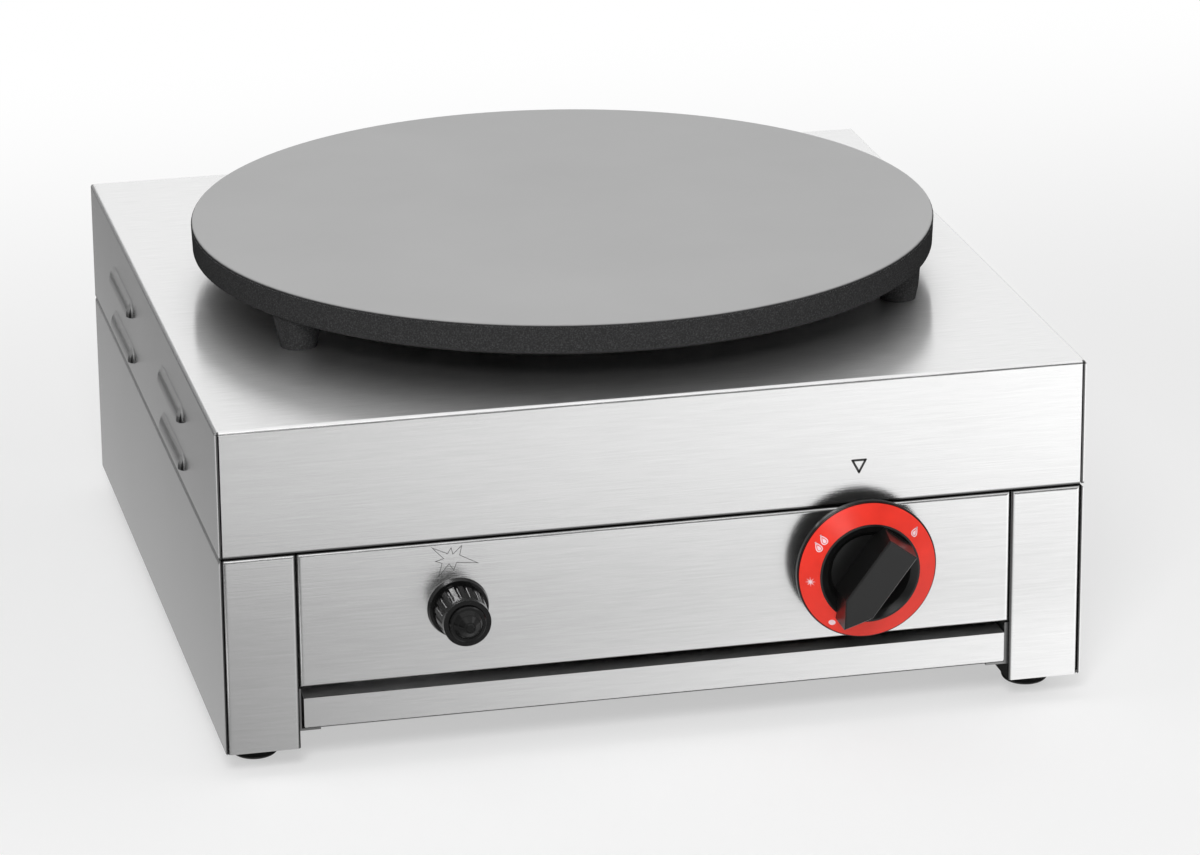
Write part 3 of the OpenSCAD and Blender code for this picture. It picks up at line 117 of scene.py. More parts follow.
# Steps round the plate's rim, and how far the ring reaches into the rim at its top
RIM_STEPS = 360
RIM_REACH = 0.0003
# Distance below which two heights count as equal
NEAR = 1e-5

# Steps in a turn of a coil, and sides of its wire
COIL_STEPS = 24
WIRE_SIDES = 12

# Tips and notches of the spark sign, from the igniter's axis
SPARK_CORNERS = [
    (-0.0134, 0.0335), (-0.0050, 0.0295), (-0.0030, 0.0327), (-0.0021, 0.0291), (0.0027, 0.0335),
    (0.0014, 0.0281), (0.0113, 0.0227), (-0.0002, 0.0241), (-0.0019, 0.0199), (-0.0043, 0.0235),
    (-0.0101, 0.0168), (-0.0080, 0.0243), (-0.0116, 0.0257), (-0.0073, 0.0269),
]
# Corners of the pointer, from its place
POINTER_CORNERS = [(-0.0045, 0.0037), (0.0045, 0.0037), (0.0, -0.0047)]

# Places of the dial's signs: degrees clockwise from the top, radius in metres, and lean in degrees
DIAL_SIGNS = {
    "off_dot": (216.0, 0.0325, 0.0),
    "spark": (265.0, 0.0310, 0.0),
    "high_flame_low": (300.8, 0.0313, 27.0),
    "high_flame_high": (309.2, 0.0312, 18.0),
    "low_flame": (51.2, 0.0313, -10.0),
}
DOT_RAYS = 16
SPARK_RAYS = 8
# Shares: the spark's notches of its rays, a flame's width of its length, and its core of the flame
SPARK_NOTCH = 0.26
FLAME_WIDTH = 0.64
CORE_WIDTH = 0.5
CORE_LENGTH = 0.52
CORE_DROP = 0.1
# Steps round a drop, the power that draws out its point, and the width that its formula then has
DROP_STEPS = 28
DROP_POINT = 1.5
DROP_SPREAD = 1.4

WHITE = (1.0, 1.0, 1.0, 1.0)
PAPER = ((0.92, 0.92, 0.92, 1.0), (0.94, 0.94, 0.94, 1.0))
# Places along Y between which the floor turns white behind the object, and its white share in front
FLOOR_FADE = (0.2, 1.15)
FLOOR_WHITE = 0.5

LAMP_PLACES = {"left_lamp": (-0.7, -2.2, 1.8), "right_lamp": (1.4, -0.9, 1.5)}
LAMP_TARGET = (0.0, -0.1, 0.1)
LAMP_SIZE = 0.9

FLAT = (0.0, 0.0, 0.0)
UPRIGHT = (math.radians(90.0), 0.0, 0.0)
SIDEWAYS = (math.radians(90.0), 0.0, math.radians(90.0))
# Cards that only mirrors show: size, place, turn, and strength at the left and the right edge
CARDS = {
    "left_card": ((0.3, 1.73), (-0.376, 0.639, 0.002), FLAT, 0.05, 0.42),
    "far_left_card": ((1.5, 1.73), (-1.276, 0.639, 0.002), FLAT, 0.1, 0.05),
    "corner_card": ((1.57, 1.374), (-1.235, -0.913, 0.004), FLAT, 0.03, 0.03),
    "left_wall": ((4.0, 2.4), (-2.2, 0.0, 1.2), SIDEWAYS, 0.3, 0.3),
    "right_wall": ((4.0, 2.4), (2.2, 0.6, 1.2), SIDEWAYS, 0.7, 0.35),
    "right_card": ((0.7, 1.73), (0.576, 0.639, 0.002), FLAT, 0.7, 0.4),
    "under_card": ((0.45, 0.45), (0.0, 0.0, 0.002), FLAT, 0.05, 0.05),
    "tray_card": ((1.0, 0.114), (0.2, -0.283, 0.002), FLAT, 0.25, 1.85),
    "near_card": ((1.2, 0.182), (0.1, -0.431, 0.002), FLAT, 0.05, 1.48),
    "front_card": ((1.3, 1.1), (0.05, -1.072, 0.002), FLAT, 0.16, 1.6),
    "back_card": ((3.0, 1.6), (-1.95, 1.3, 0.8), UPRIGHT, 0.12, 0.3),
    "room_card": ((8.0, 4.0), (0.0, -4.5, 2.0), UPRIGHT, 0.12, 0.12),
}
HIDDEN_RAYS = ("camera", "diffuse", "transmission", "volume_scatter", "shadow")


class Socket:
    """A shader value that takes part in arithmetic: each operation adds a Math node."""

    def __init__(self, finish, out):
        self.finish = finish
        self.out = out

    def math(self, operation, *values):
        """A Math node on some values."""
        return self.finish.node("ShaderNodeMath", {"operation": operation}, dict(enumerate(values)))

    def __add__(self, other):
        return self.math("ADD", self, other)

    def __radd__(self, other):
        return self.math("ADD", other, self)

    def __sub__(self, other):
        return self.math("SUBTRACT", self, other)

    def __rsub__(self, other):
        return self.math("SUBTRACT", other, self)

    def __mul__(self, other):
        return self.math("MULTIPLY", self, other)

    def __rmul__(self, other):
        return self.math("MULTIPLY", other, self)

    def __pow__(self, other):
        return self.math("POWER", self, other)

    def __abs__(self):
        return self.math("ABSOLUTE", self)

    def above(self, low, high):
        """0 below low, 1 above high, smooth between them."""
        return self.finish.node(
            "ShaderNodeMapRange", {"interpolation_type": "SMOOTHSTEP"},
            {"Value": self, "From Min": low, "From Max": high},
        )

    def sway(self, swing):
        """Noise from 0 to 1 as a change up and down, swing wide in all."""
        return swing * (self - 0.5)


class Finish:
    """The node tree of one material or world."""

    def __init__(self, owner):
        self.owner = owner
        owner.use_nodes = True
        self.tree = owner.node_tree
        self.tree.nodes.clear()

    def node(self, kind, settings=None, inputs=None, output=0):
        """Adds a node, sets it up, fills or links its sockets and gives back one output."""
        made = self.tree.nodes.new(kind)
        for key, value in (settings or {}).items():
            setattr(made, key, value)
        for key, value in (inputs or {}).items():
            if isinstance(value, Socket):
                self.tree.links.new(value.out, made.inputs[key])
            else:
                made.inputs[key].default_value = value
        return Socket(self, made.outputs[output]) if made.outputs else None

    def at(self, output="Object"):
        """Object coordinates, or another output of the texture coordinate node."""
        return self.node("ShaderNodeTexCoord", output=output)

    def axes(self, vector):
        """The three parts of a vector."""
        first = self.node("ShaderNodeSeparateXYZ", inputs={0: vector})
        return [Socket(self, out) for out in first.out.node.outputs]

    def stretched_noise(self, vector, scale, detail):
        """Noise from 0 to 1 with its own scale along each axis."""
        stretched = self.node("ShaderNodeMapping", inputs={"Vector": vector, "Scale": scale})
        return self.node("ShaderNodeTexNoise", inputs={
            "Vector": stretched, "Scale": 1.0, "Detail": detail, "Roughness": 0.55,
        })

    def noise(self, vector, scale, detail):
        """Noise from 0 to 1, alike along all axes."""
        return self.stretched_noise(vector, (scale, scale, scale), detail)

    def mix(self, amount, first, second):
        """Blends two colours."""
        return self.node("ShaderNodeMix", {"data_type": "RGBA"}, {0: amount, 6: first, 7: second}, output=2)

    def bump(self, height, strength, distance):
        """A normal raised by a height."""
        return self.node(
            "ShaderNodeBump", inputs={"Height": height, "Strength": strength, "Distance": distance}
        )

    def principled(self, inputs):
        """A Principled shader."""
        return self.node("ShaderNodeBsdfPrincipled", inputs=inputs)

    def blend(self, amount, first, second):
        """Blends two shaders."""
        return self.node("ShaderNodeMixShader", inputs={0: amount, 1: first, 2: second})

    def ends(self, shader):
        """Ends the material in a shader."""
        self.node("ShaderNodeOutputMaterial", inputs={"Surface": shader})
        return self.owner

    def surface(self, inputs):
        """Ends the material in one Principled shader."""
        return self.ends(self.principled(inputs))


def seen_rays(f):
    """1 for rays that show a surface to the eye or a mirror, 0 for rays that only light other surfaces."""
    kinds = ("Camera", "Glossy", "Transmission")
    rays = [f.node("ShaderNodeLightPath", output=f"Is {kind} Ray") for kind in kinds]
    return f.node("ShaderNodeMath", {"operation": "MINIMUM"}, {0: rays[0] + rays[1] + rays[2], 1: 1.0})


def new_finish(name):
    """An empty material."""
    return Finish(bpy.data.materials.new(name))


def tone(colour, factor):
    """A colour made lighter or darker, with full alpha."""
    return tuple(min(1.0, part * factor) for part in colour[:3]) + (1.0,)


def dress(names, material):
    """Gives a finish to CAD nodes."""
    for name in names:
        slots = NODES[name].data.materials
        slots.clear()
        slots.append(material)


def brushed_stainless(name, colour, roughness, grain, seams=(), side=None):
    """Sheet steel brushed along Y on the sides and along X elsewhere, with lines of painted shade.

    Tops are hazier than walls, because they are wiped. Each seam is an axis and the distance of the seam
    from the origin along it, on both sides, and shade is painted into the sheet's colour beside it. The side
    is the distance of the casing's sides: shade is painted on the open corners just inside it and on the
    ends of louvres beyond it.
    """
    f = new_finish(name)
    place = f.at()
    facing = f.axes(f.at("Normal"))
    sideways = abs(facing[0]).above(*FACING)
    wiped = facing[2].above(*FACING)

    def brushed(along, across):
        lines_x = f.stretched_noise(place, (along, across, across), detail=2.0)
        lines_y = f.stretched_noise(place, (across, along, across), detail=2.0)
        return lines_x + sideways * (lines_y - lines_x)

    scratch = brushed(along=50.0, across=1500.0)
    groove = brushed(along=25.0, across=2400.0)
    cloud = f.noise(place, scale=7.0, detail=3.0)
    # Mask of painted shade: 0 beside seams, on open corners and on louvre ends, 1 on the open sheet
    unshaded_sheet = 1.0
    for axis, distance in seams:
        unshaded_sheet = unshaded_sheet * abs(abs(f.axes(place)[axis]) - distance).above(*SEAM_SHADE)
    # Shade painted on the hood's open corners and on the ends of louvres, where they face along Y
    if side:
        beyond = abs(f.axes(place)[0]) - side
        louvre = beyond.above(*LOUVRE_SHADE)
        corner = 1.0 - abs(beyond + CORNER_INSET).above(*CORNER_SHADE)
        unshaded_sheet = unshaded_sheet * (1.0 - (louvre + corner) * abs(facing[1]).above(*LOUVRE_FACING))
    sheet = f.mix(scratch, tone(colour, 1 - grain), tone(colour, 1 + grain))
    # Shade is painted into the sheet's colour where the mask is low
    if seams:
        sheet = f.mix(PAINTED_SHADE_SHEET_SHARE + (1.0 - PAINTED_SHADE_SHEET_SHARE) * unshaded_sheet, tone(colour, PAINTED_SHADE_TONE), sheet)
    inputs = {
        "Base Color": sheet,
        "Metallic": 1.0,
        "Normal": f.bump(groove, strength=0.14, distance=0.0003),
    }
    polish = f.principled(inputs | {
        "Roughness": roughness * (1.0 - WIPED_POLISH * wiped) + scratch.sway(0.06) + cloud.sway(0.05),
    })
    haze = f.principled(inputs | {"Roughness": HAZE_ROUGHNESS + scratch.sway(0.12)})
    hazy = WALL_HAZE + WIPED_HAZE * wiped + scratch.sway(0.1) + cloud.sway(0.1)
    return f.ends(f.blend(hazy, polish, haze))


def rolled_steel(name, colour):
    """Plain rolled steel, a little cloudy."""
    f = new_finish(name)
    place = f.at()
    cloud = f.noise(place, scale=28.0, detail=5.0)
    fine = f.noise(place, scale=900.0, detail=2.0)
    return f.surface({
        "Base Color": f.mix(cloud, tone(colour, 0.7), tone(colour, 1.15)),
        "Metallic": 1.0,
        "Roughness": 0.42 + cloud.sway(0.16),
        "Normal": f.bump(fine, strength=0.08, distance=0.0003),
    })


def turned_metal(name, colour, roughness):
    """Turned or drawn brass and copper with slight tarnish."""
    f = new_finish(name)
    place = f.at()
    tarnish = f.noise(place, scale=60.0, detail=4.0)
    fine = f.noise(place, scale=900.0, detail=2.0)
    return f.surface({
        "Base Color": f.mix(tarnish.above(0.45, 0.8), tone(colour, 1.0), tone(colour, 0.62)),
        "Metallic": 1.0,
        "Roughness": roughness + tarnish.sway(0.18),
        "Normal": f.bump(fine, strength=0.05, distance=0.0002),
    })


def enamelled_iron(name, top, side):
    """Cast iron under satin enamel: ground grey on top, dark and finely grained on the rim and below."""
    f = new_finish(name)
    place = f.at()
    up = f.axes(f.at("Normal"))[2].above(0.55, 0.95)
    grain = f.noise(place, scale=1300.0, detail=3.0)
    pits = f.noise(place, scale=240.0, detail=4.0)
    cloud = f.noise(place, scale=9.0, detail=4.0)
    face = f.mix(cloud, tone(top, 0.92), tone(top, 1.08))
    rim = f.mix(grain.above(0.4, 0.75), tone(side, 0.9), tone(side, 1.9))
    return f.surface({
        "Base Color": f.mix(up, rim, face),
        "Roughness": 0.5 + cloud.sway(0.1) + grain.sway(0.1),
        "Specular IOR Level": 0.0,
        "Coat Weight": up * (0.9 + 0.1 * cloud),
        "Coat Roughness": 0.32,
        "Coat IOR": 1.9,
        "Normal": f.bump(grain + pits, strength=0.14 - 0.06 * up, distance=0.0004),
    })


def moulded_plastic(name, colour, roughness, gloss, disc=None):
    """Glossy moulded plastic with a faint orange peel.

    A disc is the place of its axis along X and Z and its radius: its edge is black.
    """
    f = new_finish(name)
    place = f.at()
    peel = f.noise(place, scale=420.0, detail=2.0)
    handling = f.noise(place, scale=55.0, detail=4.0)
    body = f.mix(handling, tone(colour, 0.85), tone(colour, 1.2))
    if disc:
        middle_x, middle_z, radius = disc
        x, _, z = f.axes(place)
        away = (abs(x - middle_x) ** 2.0 + abs(z - middle_z) ** 2.0) ** 0.5
        edge = away.above(radius - DIAL_EDGE_LINE, radius - DIAL_EDGE_LINE / 2)
        body = f.mix(edge, body, tone(colour, 0.01))
    return f.surface({
        "Base Color": body,
        "Roughness": roughness + handling.sway(0.14),
        "Specular IOR Level": gloss,
        "Normal": f.bump(peel, strength=0.05, distance=0.0002),
    })


def matt_rubber(name, colour):
    """Moulded rubber, matt and slightly dusty."""
    f = new_finish(name)
    place = f.at()
    dust = f.noise(place, scale=90.0, detail=5.0)
    skin = f.noise(place, scale=1400.0, detail=2.0)
    return f.surface({
        "Base Color": f.mix(dust, tone(colour, 0.8), tone(colour, 1.5)),
        "Roughness": 0.72 + dust.sway(0.12),
        "Normal": f.bump(skin, strength=0.1, distance=0.0002),
    })


def printed_ink(name, colour):
    """Printed marks, with a trace of wear."""
    f = new_finish(name)
    wear = f.noise(f.at(), scale=1600.0, detail=3.0)
    return f.surface({
        "Base Color": f.mix(wear, tone(colour, 0.9), tone(colour, 1.1)),
        "Roughness": 0.5 + wear.sway(0.1),
    })


def glazed_ceramic(name, colour):
    """White insulator ceramic."""
    f = new_finish(name)
    speck = f.noise(f.at(), scale=500.0, detail=4.0)
    return f.surface({
        "Base Color": f.mix(speck, tone(colour, 0.93), tone(colour, 1.0)),
        "Roughness": 0.28 + speck.sway(0.1),
    })


def span(node):
    """Lowest corner, highest corner and middle of a CAD node."""
    low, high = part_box(node)
    return low, high, (low + high) / 2


def star(rays, outer, inner):
    """Corners of an even star, one ray upwards."""
    steps = [(i * math.pi / rays, (outer, inner)[i % 2]) for i in range(2 * rays)]
    return [(r * math.sin(turn), r * math.cos(turn)) for turn, r in steps]


def drop(length, width):
    """Outline of a drop, its point upwards and its middle at the origin."""
    turns = [2 * math.pi * i / DROP_STEPS for i in range(DROP_STEPS)]
    across = [width / DROP_SPREAD * math.sin(t) * math.sin(t / 2) ** DROP_POINT for t in turns]
    return [(x, length / 2 * math.cos(t)) for x, t in zip(across, turns)]


def add_piece(name, mesh, body, material):
    """Makes an object of a bmesh, with its place in its mesh, and hangs it on a body."""
    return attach(add_object(name, mesh, material), body)


def add_object(name, mesh, material):
    """Makes an object of a bmesh and puts it in the scene."""
    data = bpy.data.meshes.new(name)
    mesh.to_mesh(data)
    mesh.free()
    data.materials.append(material)
    made = bpy.data.objects.new(name, data)
    bpy.context.scene.collection.objects.link(made)
    return made


def add_print(mesh, corners, line=0.0, blunt=0.0):
    """Adds a printed area inside corners in the XZ plane, or only a line along its edge."""
    face = mesh.faces.new([mesh.verts.new((x, 0.0, z)) for x, z in corners])
    if blunt:
        bmesh.ops.bevel(
            mesh, geom=face.verts[:], offset=blunt, segments=4, profile=0.5, affect="VERTICES", material=-1
        )
        face = mesh.faces[:][-1]
    if line:
        mesh.normal_update()
        bmesh.ops.inset_region(mesh, faces=[face], thickness=line, use_boundary=True, use_even_offset=True)
        bmesh.ops.delete(mesh, geom=[face], context="FACES")


def print_piece(name, mesh, place, thickness, body, material):
    """Gives printed areas their thickness, puts them in place and hangs them on a body."""
    raised = bmesh.ops.extrude_face_region(mesh, geom=mesh.faces[:])
    lifted = [item for item in raised["geom"] if isinstance(item, bmesh.types.BMVert)]
    bmesh.ops.translate(mesh, verts=lifted, vec=(0.0, -thickness, 0.0))
    bmesh.ops.recalc_face_normals(mesh, faces=mesh.faces[:])
    bmesh.ops.transform(mesh, matrix=place, verts=mesh.verts[:])
    return add_piece(name, mesh, body, material)


def colour_property(name, description, default):
    """A colour that the user can change."""
    return FloatVectorProperty(name=name, description=description, subtype="COLOR", default=default)


def length_property(name, description, default, low, high, precision=4):
    """A length in metres that the user can change."""
    return FloatProperty(
        name=name, description=description, default=default, min=low, max=high, unit="LENGTH",
        precision=precision,
    )


class CasingLooks(bpy.types.PropertyGroup):
    """Colours and grain of the metal parts and of the igniter's wiring."""

    sheet: colour_property("Sheet", "Colour of the stainless sheet", (0.84, 0.84, 0.84))
    sheet_roughness: FloatProperty(
        name="Roughness", description="Roughness of the stainless sheet", default=0.2, min=0.05, max=0.8,
        subtype="FACTOR",
    )
    sheet_grain: FloatProperty(
        name="Grain", description="Contrast of the brushed grain", default=0.1, min=0.0, max=0.5,
        subtype="FACTOR",
    )
    frame_steel: colour_property("Frame steel", "Colour of the frame and the burner", (0.30, 0.30, 0.31))
    brass: colour_property("Brass", "Colour of the gas fittings", (0.66, 0.43, 0.13))
    copper: colour_property("Copper", "Colour of the gas pipes", (0.72, 0.33, 0.18))
    ceramic: colour_property("Ceramic", "Colour of the spark electrode's insulator", (0.85, 0.84, 0.8))
    lead: colour_property("Lead", "Colour of the ignition lead", (0.02, 0.02, 0.02))


class GriddleLooks(bpy.types.PropertyGroup):
    """Colours and rim of the cast griddle plate."""

    top: colour_property("Top", "Colour of the plate's face", (0.37, 0.37, 0.37))
    side: colour_property("Side", "Colour of the rim and the cast feet", (0.031, 0.031, 0.0315))
    edge: length_property("Edge", "Radius of the plate's top edge", 0.0016, 0.001, 0.003)
    lower_edge: length_property("Lower edge", "Round of the squared rim's lower edge", 0.0009, 0.0002, 0.001)
    thickness: length_property("Thickness", "Thickness of the squared rim", 0.0156, 0.014, 0.0165)
    slope: length_property(
        "Slope", "How much the bare rim draws in towards its lower edge", 0.003, 0.001, 0.004
    )
    draft: length_property("Draft", "How much the squared rim draws in", 0.0006, 0.0, 0.001)


class ControlLooks(bpy.types.PropertyGroup):
    """Colours of the knob, the dial, the igniter and the feet."""

    black: colour_property("Black", "Colour of the moulded parts", (0.006, 0.006, 0.006))
    red: colour_property("Dial", "Colour of the dial ring", (0.80, 0.035, 0.02))
    rubber: colour_property("Rubber", "Colour of the feet", (0.006, 0.006, 0.006))


class SignLooks(bpy.types.PropertyGroup):
    """Colours, sizes and places of the printed signs."""

    dial_ink: colour_property("Dial ink", "Colour of the dial's symbols", (0.86, 0.62, 0.66))
    pointer_ink: colour_property("Pointer ink", "Colour of the triangle above the knob", (0.03, 0.03, 0.03))
    spark_ink: colour_property("Spark ink", "Colour of the spark sign above the igniter", (0.09, 0.09, 0.09))
    height: length_property(
        "Print height", "How far the print stands off its carrier", 0.00004, 0.00001, 0.0005, precision=5
    )
    pointer_across: length_property("Pointer across", "Sideways place of the triangle", 0.1053, 0.09, 0.12)
    pointer_height: length_property(
        "Pointer height", "Height of the triangle above the table", 0.1392, 0.13, 0.17
    )
    pointer_line: length_property("Pointer line", "Width of the triangle's line", 0.0012, 0.0005, 0.002)
    pointer_blunt: length_property(
        "Pointer corners", "How far the triangle's corners are cut back", 0.001, 0.0002, 0.002
    )
    spark_line: length_property("Spark line", "Width of the spark sign's line", 0.0003, 0.0002, 0.001)
    dial_inner: length_property(
        "Dial inner radius", "Inner radius of the sloping dial ring", 0.0265, 0.02, 0.03
    )
    dial_thickness: length_property(
        "Dial thickness", "Thickness of the dial ring along its axis", 0.0008, 0.0005, 0.002
    )
    off_dot: length_property("Off dot", "Radius of the off dot", 0.0018, 0.001, 0.0025)
    spark_ray: length_property("Spark ray", "Length of the dial spark's rays", 0.0027, 0.001, 0.003)
    flame: length_property("Flame", "Length of a flame", 0.0058, 0.004, 0.007)
    line: length_property("Line", "Width of the flames' outlines", 0.00055, 0.0002, 0.001, precision=5)


class SpringLooks(bpy.types.PropertyGroup):
    """Wire, turns and colour of the two coil springs."""

    steel: colour_property("Steel", "Colour of the spring wire", (0.55, 0.55, 0.56))
    tap_wire: length_property("Tap wire", "Wire of the tap's spring", 0.0011, 0.0005, 0.0015)
    tap_turns: IntProperty(
        name="Tap turns", description="Turns of the tap's spring", default=4, min=2, max=6
    )
    igniter_wire: length_property("Igniter wire", "Wire of the igniter's spring", 0.001, 0.0005, 0.0015)
    igniter_turns: IntProperty(
        name="Igniter turns", description="Turns of the igniter's spring", default=3, min=2, max=6
    )


class StudioLooks(bpy.types.PropertyGroup):
    """Camera and light of the studio."""

    camera_place: FloatVectorProperty(
        name="Camera", description="Place of the camera", subtype="XYZ", unit="LENGTH",
        default=(-0.59071, -2.67577, 1.05027),
    )
    camera_turn: FloatVectorProperty(
        name="Camera turn", description="Turn of the camera", subtype="EULER",
        default=(math.radians(70.7513), math.radians(0.5004), math.radians(-13.0463)),
    )
    lens: FloatProperty(
        name="Lens", description="Focal length of the camera in millimetres", default=158.838, min=10.0,
        max=400.0,
    )
    sky: FloatProperty(name="Sky", description="Strength of the sky light", default=0.48, min=0.0, max=2.0)
    left_lamp: FloatProperty(
        name="Left lamp", description="Power of the left lamp", default=36.0, min=0.0, unit="POWER"
    )
    right_lamp: FloatProperty(
        name="Right lamp", description="Power of the right lamp", default=2.0, min=0.0, unit="POWER"
    )


class CREPE_OT_casing(bpy.types.Operator):
    """Gives the sheet metal and the fittings their finishes"""

    bl_idname = "crepe.casing"
    bl_label = "Casing finishes"

    def execute(self, context):
        looks = context.scene.crepe_casing
        sheet = looks.sheet, looks.sheet_roughness, looks.sheet_grain
        post_inside, post_outside = (corner.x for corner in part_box("front_post_right"))
        # Seams beside which shade is painted: under the hood, and at the posts' inner and outer edges
        under_hood = (2, (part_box("hood")[0].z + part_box("control_panel")[1].z) / 2)
        beside_panel = (0, post_inside)
        beside_side = (0, post_outside + POST_SEAM)
        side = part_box("side_panel_right")[1].x
        dress(CASING_SHEETS, brushed_stainless("stainless_sheet", *sheet, [under_hood], side))
        dress(FRONT_POSTS, brushed_stainless("post_sheet", *sheet, [under_hood, beside_panel, beside_side]))
        # The runners' sheet is darkened as painted shade in the gaps beside the tray
        dress(TRAY_RUNNERS, brushed_stainless(
            "runner_sheet", tone(looks.sheet, RUNNER_SHADE_TONE), roughness=0.4, grain=looks.sheet_grain
        ))
        dress(BRIGHT_FITTINGS, brushed_stainless("bright_fittings", looks.sheet, roughness=0.3, grain=0.04))
        dress(DULL_STEEL, rolled_steel("rolled_steel", looks.frame_steel))
        return {"FINISHED"}


class CREPE_OT_gas_line(bpy.types.Operator):
    """Gives the gas fittings, the pipes and the igniter's wiring their finishes"""

    bl_idname = "crepe.gas_line"
    bl_label = "Gas line finishes"

    def execute(self, context):
        looks = context.scene.crepe_casing
        dress(BRASS_FITTINGS, turned_metal("turned_brass", looks.brass, roughness=0.3))
        dress(COPPER_LINES, turned_metal("drawn_copper", looks.copper, roughness=0.34))
        dress(("spark_electrode",), glazed_ceramic("insulator_ceramic", looks.ceramic))
        dress(("ignition_lead",), matt_rubber("lead_rubber", looks.lead))
        return {"FINISHED"}


class CREPE_OT_griddle(bpy.types.Operator):
    """Gives the cast plate its enamel and squares its rim"""

    bl_idname = "crepe.griddle"
    bl_label = "Griddle finish"

    def execute(self, context):
        looks = context.scene.crepe_griddle
        iron = enamelled_iron("enamelled_iron", looks.top, looks.side)
        dress(("griddle_plate",), iron)
        low, high, middle = span("griddle_plate")
        radius = (high.x - low.x) / 2
        top, bottom = high.z - looks.edge, high.z - looks.thickness
        profile = [
            (radius, top), (radius - looks.draft, bottom), (radius - looks.slope, bottom),
            (radius - RIM_REACH, top),
        ]
        mesh = bmesh.new()
        corners = [mesh.verts.new((middle.x + r, middle.y, z)) for r, z in profile]
        for i, corner in enumerate(corners):
            mesh.edges.new((corners[i - 1], corner))
        bmesh.ops.spin(
            mesh, geom=mesh.verts[:] + mesh.edges[:], cent=middle, axis=(0.0, 0.0, 1.0), angle=2 * math.pi,
            steps=RIM_STEPS, use_merge=True,
        )
        bmesh.ops.recalc_face_normals(mesh, faces=mesh.faces[:])

        def at_lower_edge(vert):
            outside = (vert.co - middle).xy.length > radius - 2 * looks.draft
            return outside and abs(vert.co.z - bottom) < NEAR

        lower = [edge for edge in mesh.edges if all(at_lower_edge(vert) for vert in edge.verts)]
        bmesh.ops.bevel(
            mesh, geom=lower, offset=looks.lower_edge, segments=3, profile=0.5, affect="EDGES", material=-1
        )
        add_piece("plate_rim", mesh, "casing", iron)
        return {"FINISHED"}


class CREPE_OT_controls(bpy.types.Operator):
    """Gives the knob, the dial, the igniter and the feet their finishes"""

    bl_idname = "crepe.controls"
    bl_label = "Control finishes"

    def execute(self, context):
        looks = context.scene.crepe_controls
        low, high, middle = span("dial_ring")
        disc = middle.x, middle.z, (high.x - low.x) / 2
        dress(("knob",), moulded_plastic("knob_black", looks.black, roughness=0.3, gloss=0.45))
        dress(MOULDED_BLACK, moulded_plastic("igniter_black", looks.black, roughness=0.14, gloss=0.25))
        dress(("dial_ring",), moulded_plastic("dial_red", looks.red, roughness=0.32, gloss=0.2, disc=disc))
        dress(RUBBER_FEET, matt_rubber("foot_rubber", looks.rubber))
        return {"FINISHED"}


class CREPE_OT_springs(bpy.types.Operator):
    """Coils the springs of the tap and the igniter"""

    bl_idname = "crepe.springs"
    bl_label = "Springs"

    def execute(self, context):
        looks = context.scene.crepe_springs
        steel = rolled_steel("spring_steel", looks.steel)
        self.coil("tap_coil", "tap_spring", "knob_push", looks.tap_wire, looks.tap_turns, steel)
        self.coil(
            "igniter_coil", "igniter_spring", "igniter_push", looks.igniter_wire, looks.igniter_turns, steel
        )
        return {"FINISHED"}

    def coil(self, name, node, joint, wire, turns, material):
        """A coil spring along Y in the place of a CAD node."""
        low, high, middle = span(node)
        length = high.y - low.y
        travel = next(item["range_m"][1] for item in frame["joints"] if item["name"] == joint)
        steps = COIL_STEPS * turns
        mesh = bmesh.new()
        bmesh.ops.create_circle(mesh, cap_ends=True, segments=WIRE_SIDES, radius=wire / 2)
        bmesh.ops.translate(
            mesh, verts=mesh.verts[:], vec=(high.x - wire / 2, low.y + wire / 2, middle.z)
        )
        bmesh.ops.spin(
            mesh, geom=mesh.verts[:] + mesh.edges[:] + mesh.faces[:], cent=middle, axis=(0.0, 1.0, 0.0),
            dvec=(0.0, (length - wire) / steps, 0.0), angle=2 * math.pi * turns, steps=steps,
        )
        bmesh.ops.recalc_face_normals(mesh, faces=mesh.faces[:])
        piece = add_piece(name, mesh, "casing", material)
        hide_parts(node)
        1 - travel / length
        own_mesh(piece)


class CREPE_OT_dial_signs(bpy.types.Operator):
    """Prints the off dot, the spark and the flames on the dial"""

    bl_idname = "crepe.dial_signs"
    bl_label = "Dial signs"

    def execute(self, context):
        looks = context.scene.crepe_signs
        low, high, middle = span("dial_ring")
        centre = Matrix.Translation((middle.x, low.y, middle.z))
        slope = (high.y - low.y - looks.dial_thickness) / ((high.x - low.x) / 2 - looks.dial_inner)
        tilt = Matrix.Rotation(-math.atan(slope), 4, "X")
        ink = printed_ink("dial_ink", looks.dial_ink)
        flame = drop(looks.flame, FLAME_WIDTH * looks.flame)
        core = [(CORE_WIDTH * x, CORE_LENGTH * z - CORE_DROP * looks.flame) for x, z in flame]
        flame_areas = [(flame, looks.line), (core, 0.0)]
        other_areas = {
            "off_dot": [(star(DOT_RAYS, looks.off_dot, looks.off_dot), 0.0)],
            "spark": [(star(SPARK_RAYS, looks.spark_ray, SPARK_NOTCH * looks.spark_ray), 0.0)],
        }
        for name, (clock, radius, lean) in DIAL_SIGNS.items():
            mesh = bmesh.new()
            for corners, line in other_areas.get(name, flame_areas):
                add_print(mesh, corners, line)
            turn = Matrix.Rotation(math.radians(clock), 4, "Y")
            step = Matrix.Translation((0.0, slope * (radius - looks.dial_inner), radius))
            place = centre @ turn @ step @ tilt @ Matrix.Rotation(math.radians(lean), 4, "Y")
            print_piece(f"dial_{name}", mesh, place, looks.height, "knob", ink)
        return {"FINISHED"}


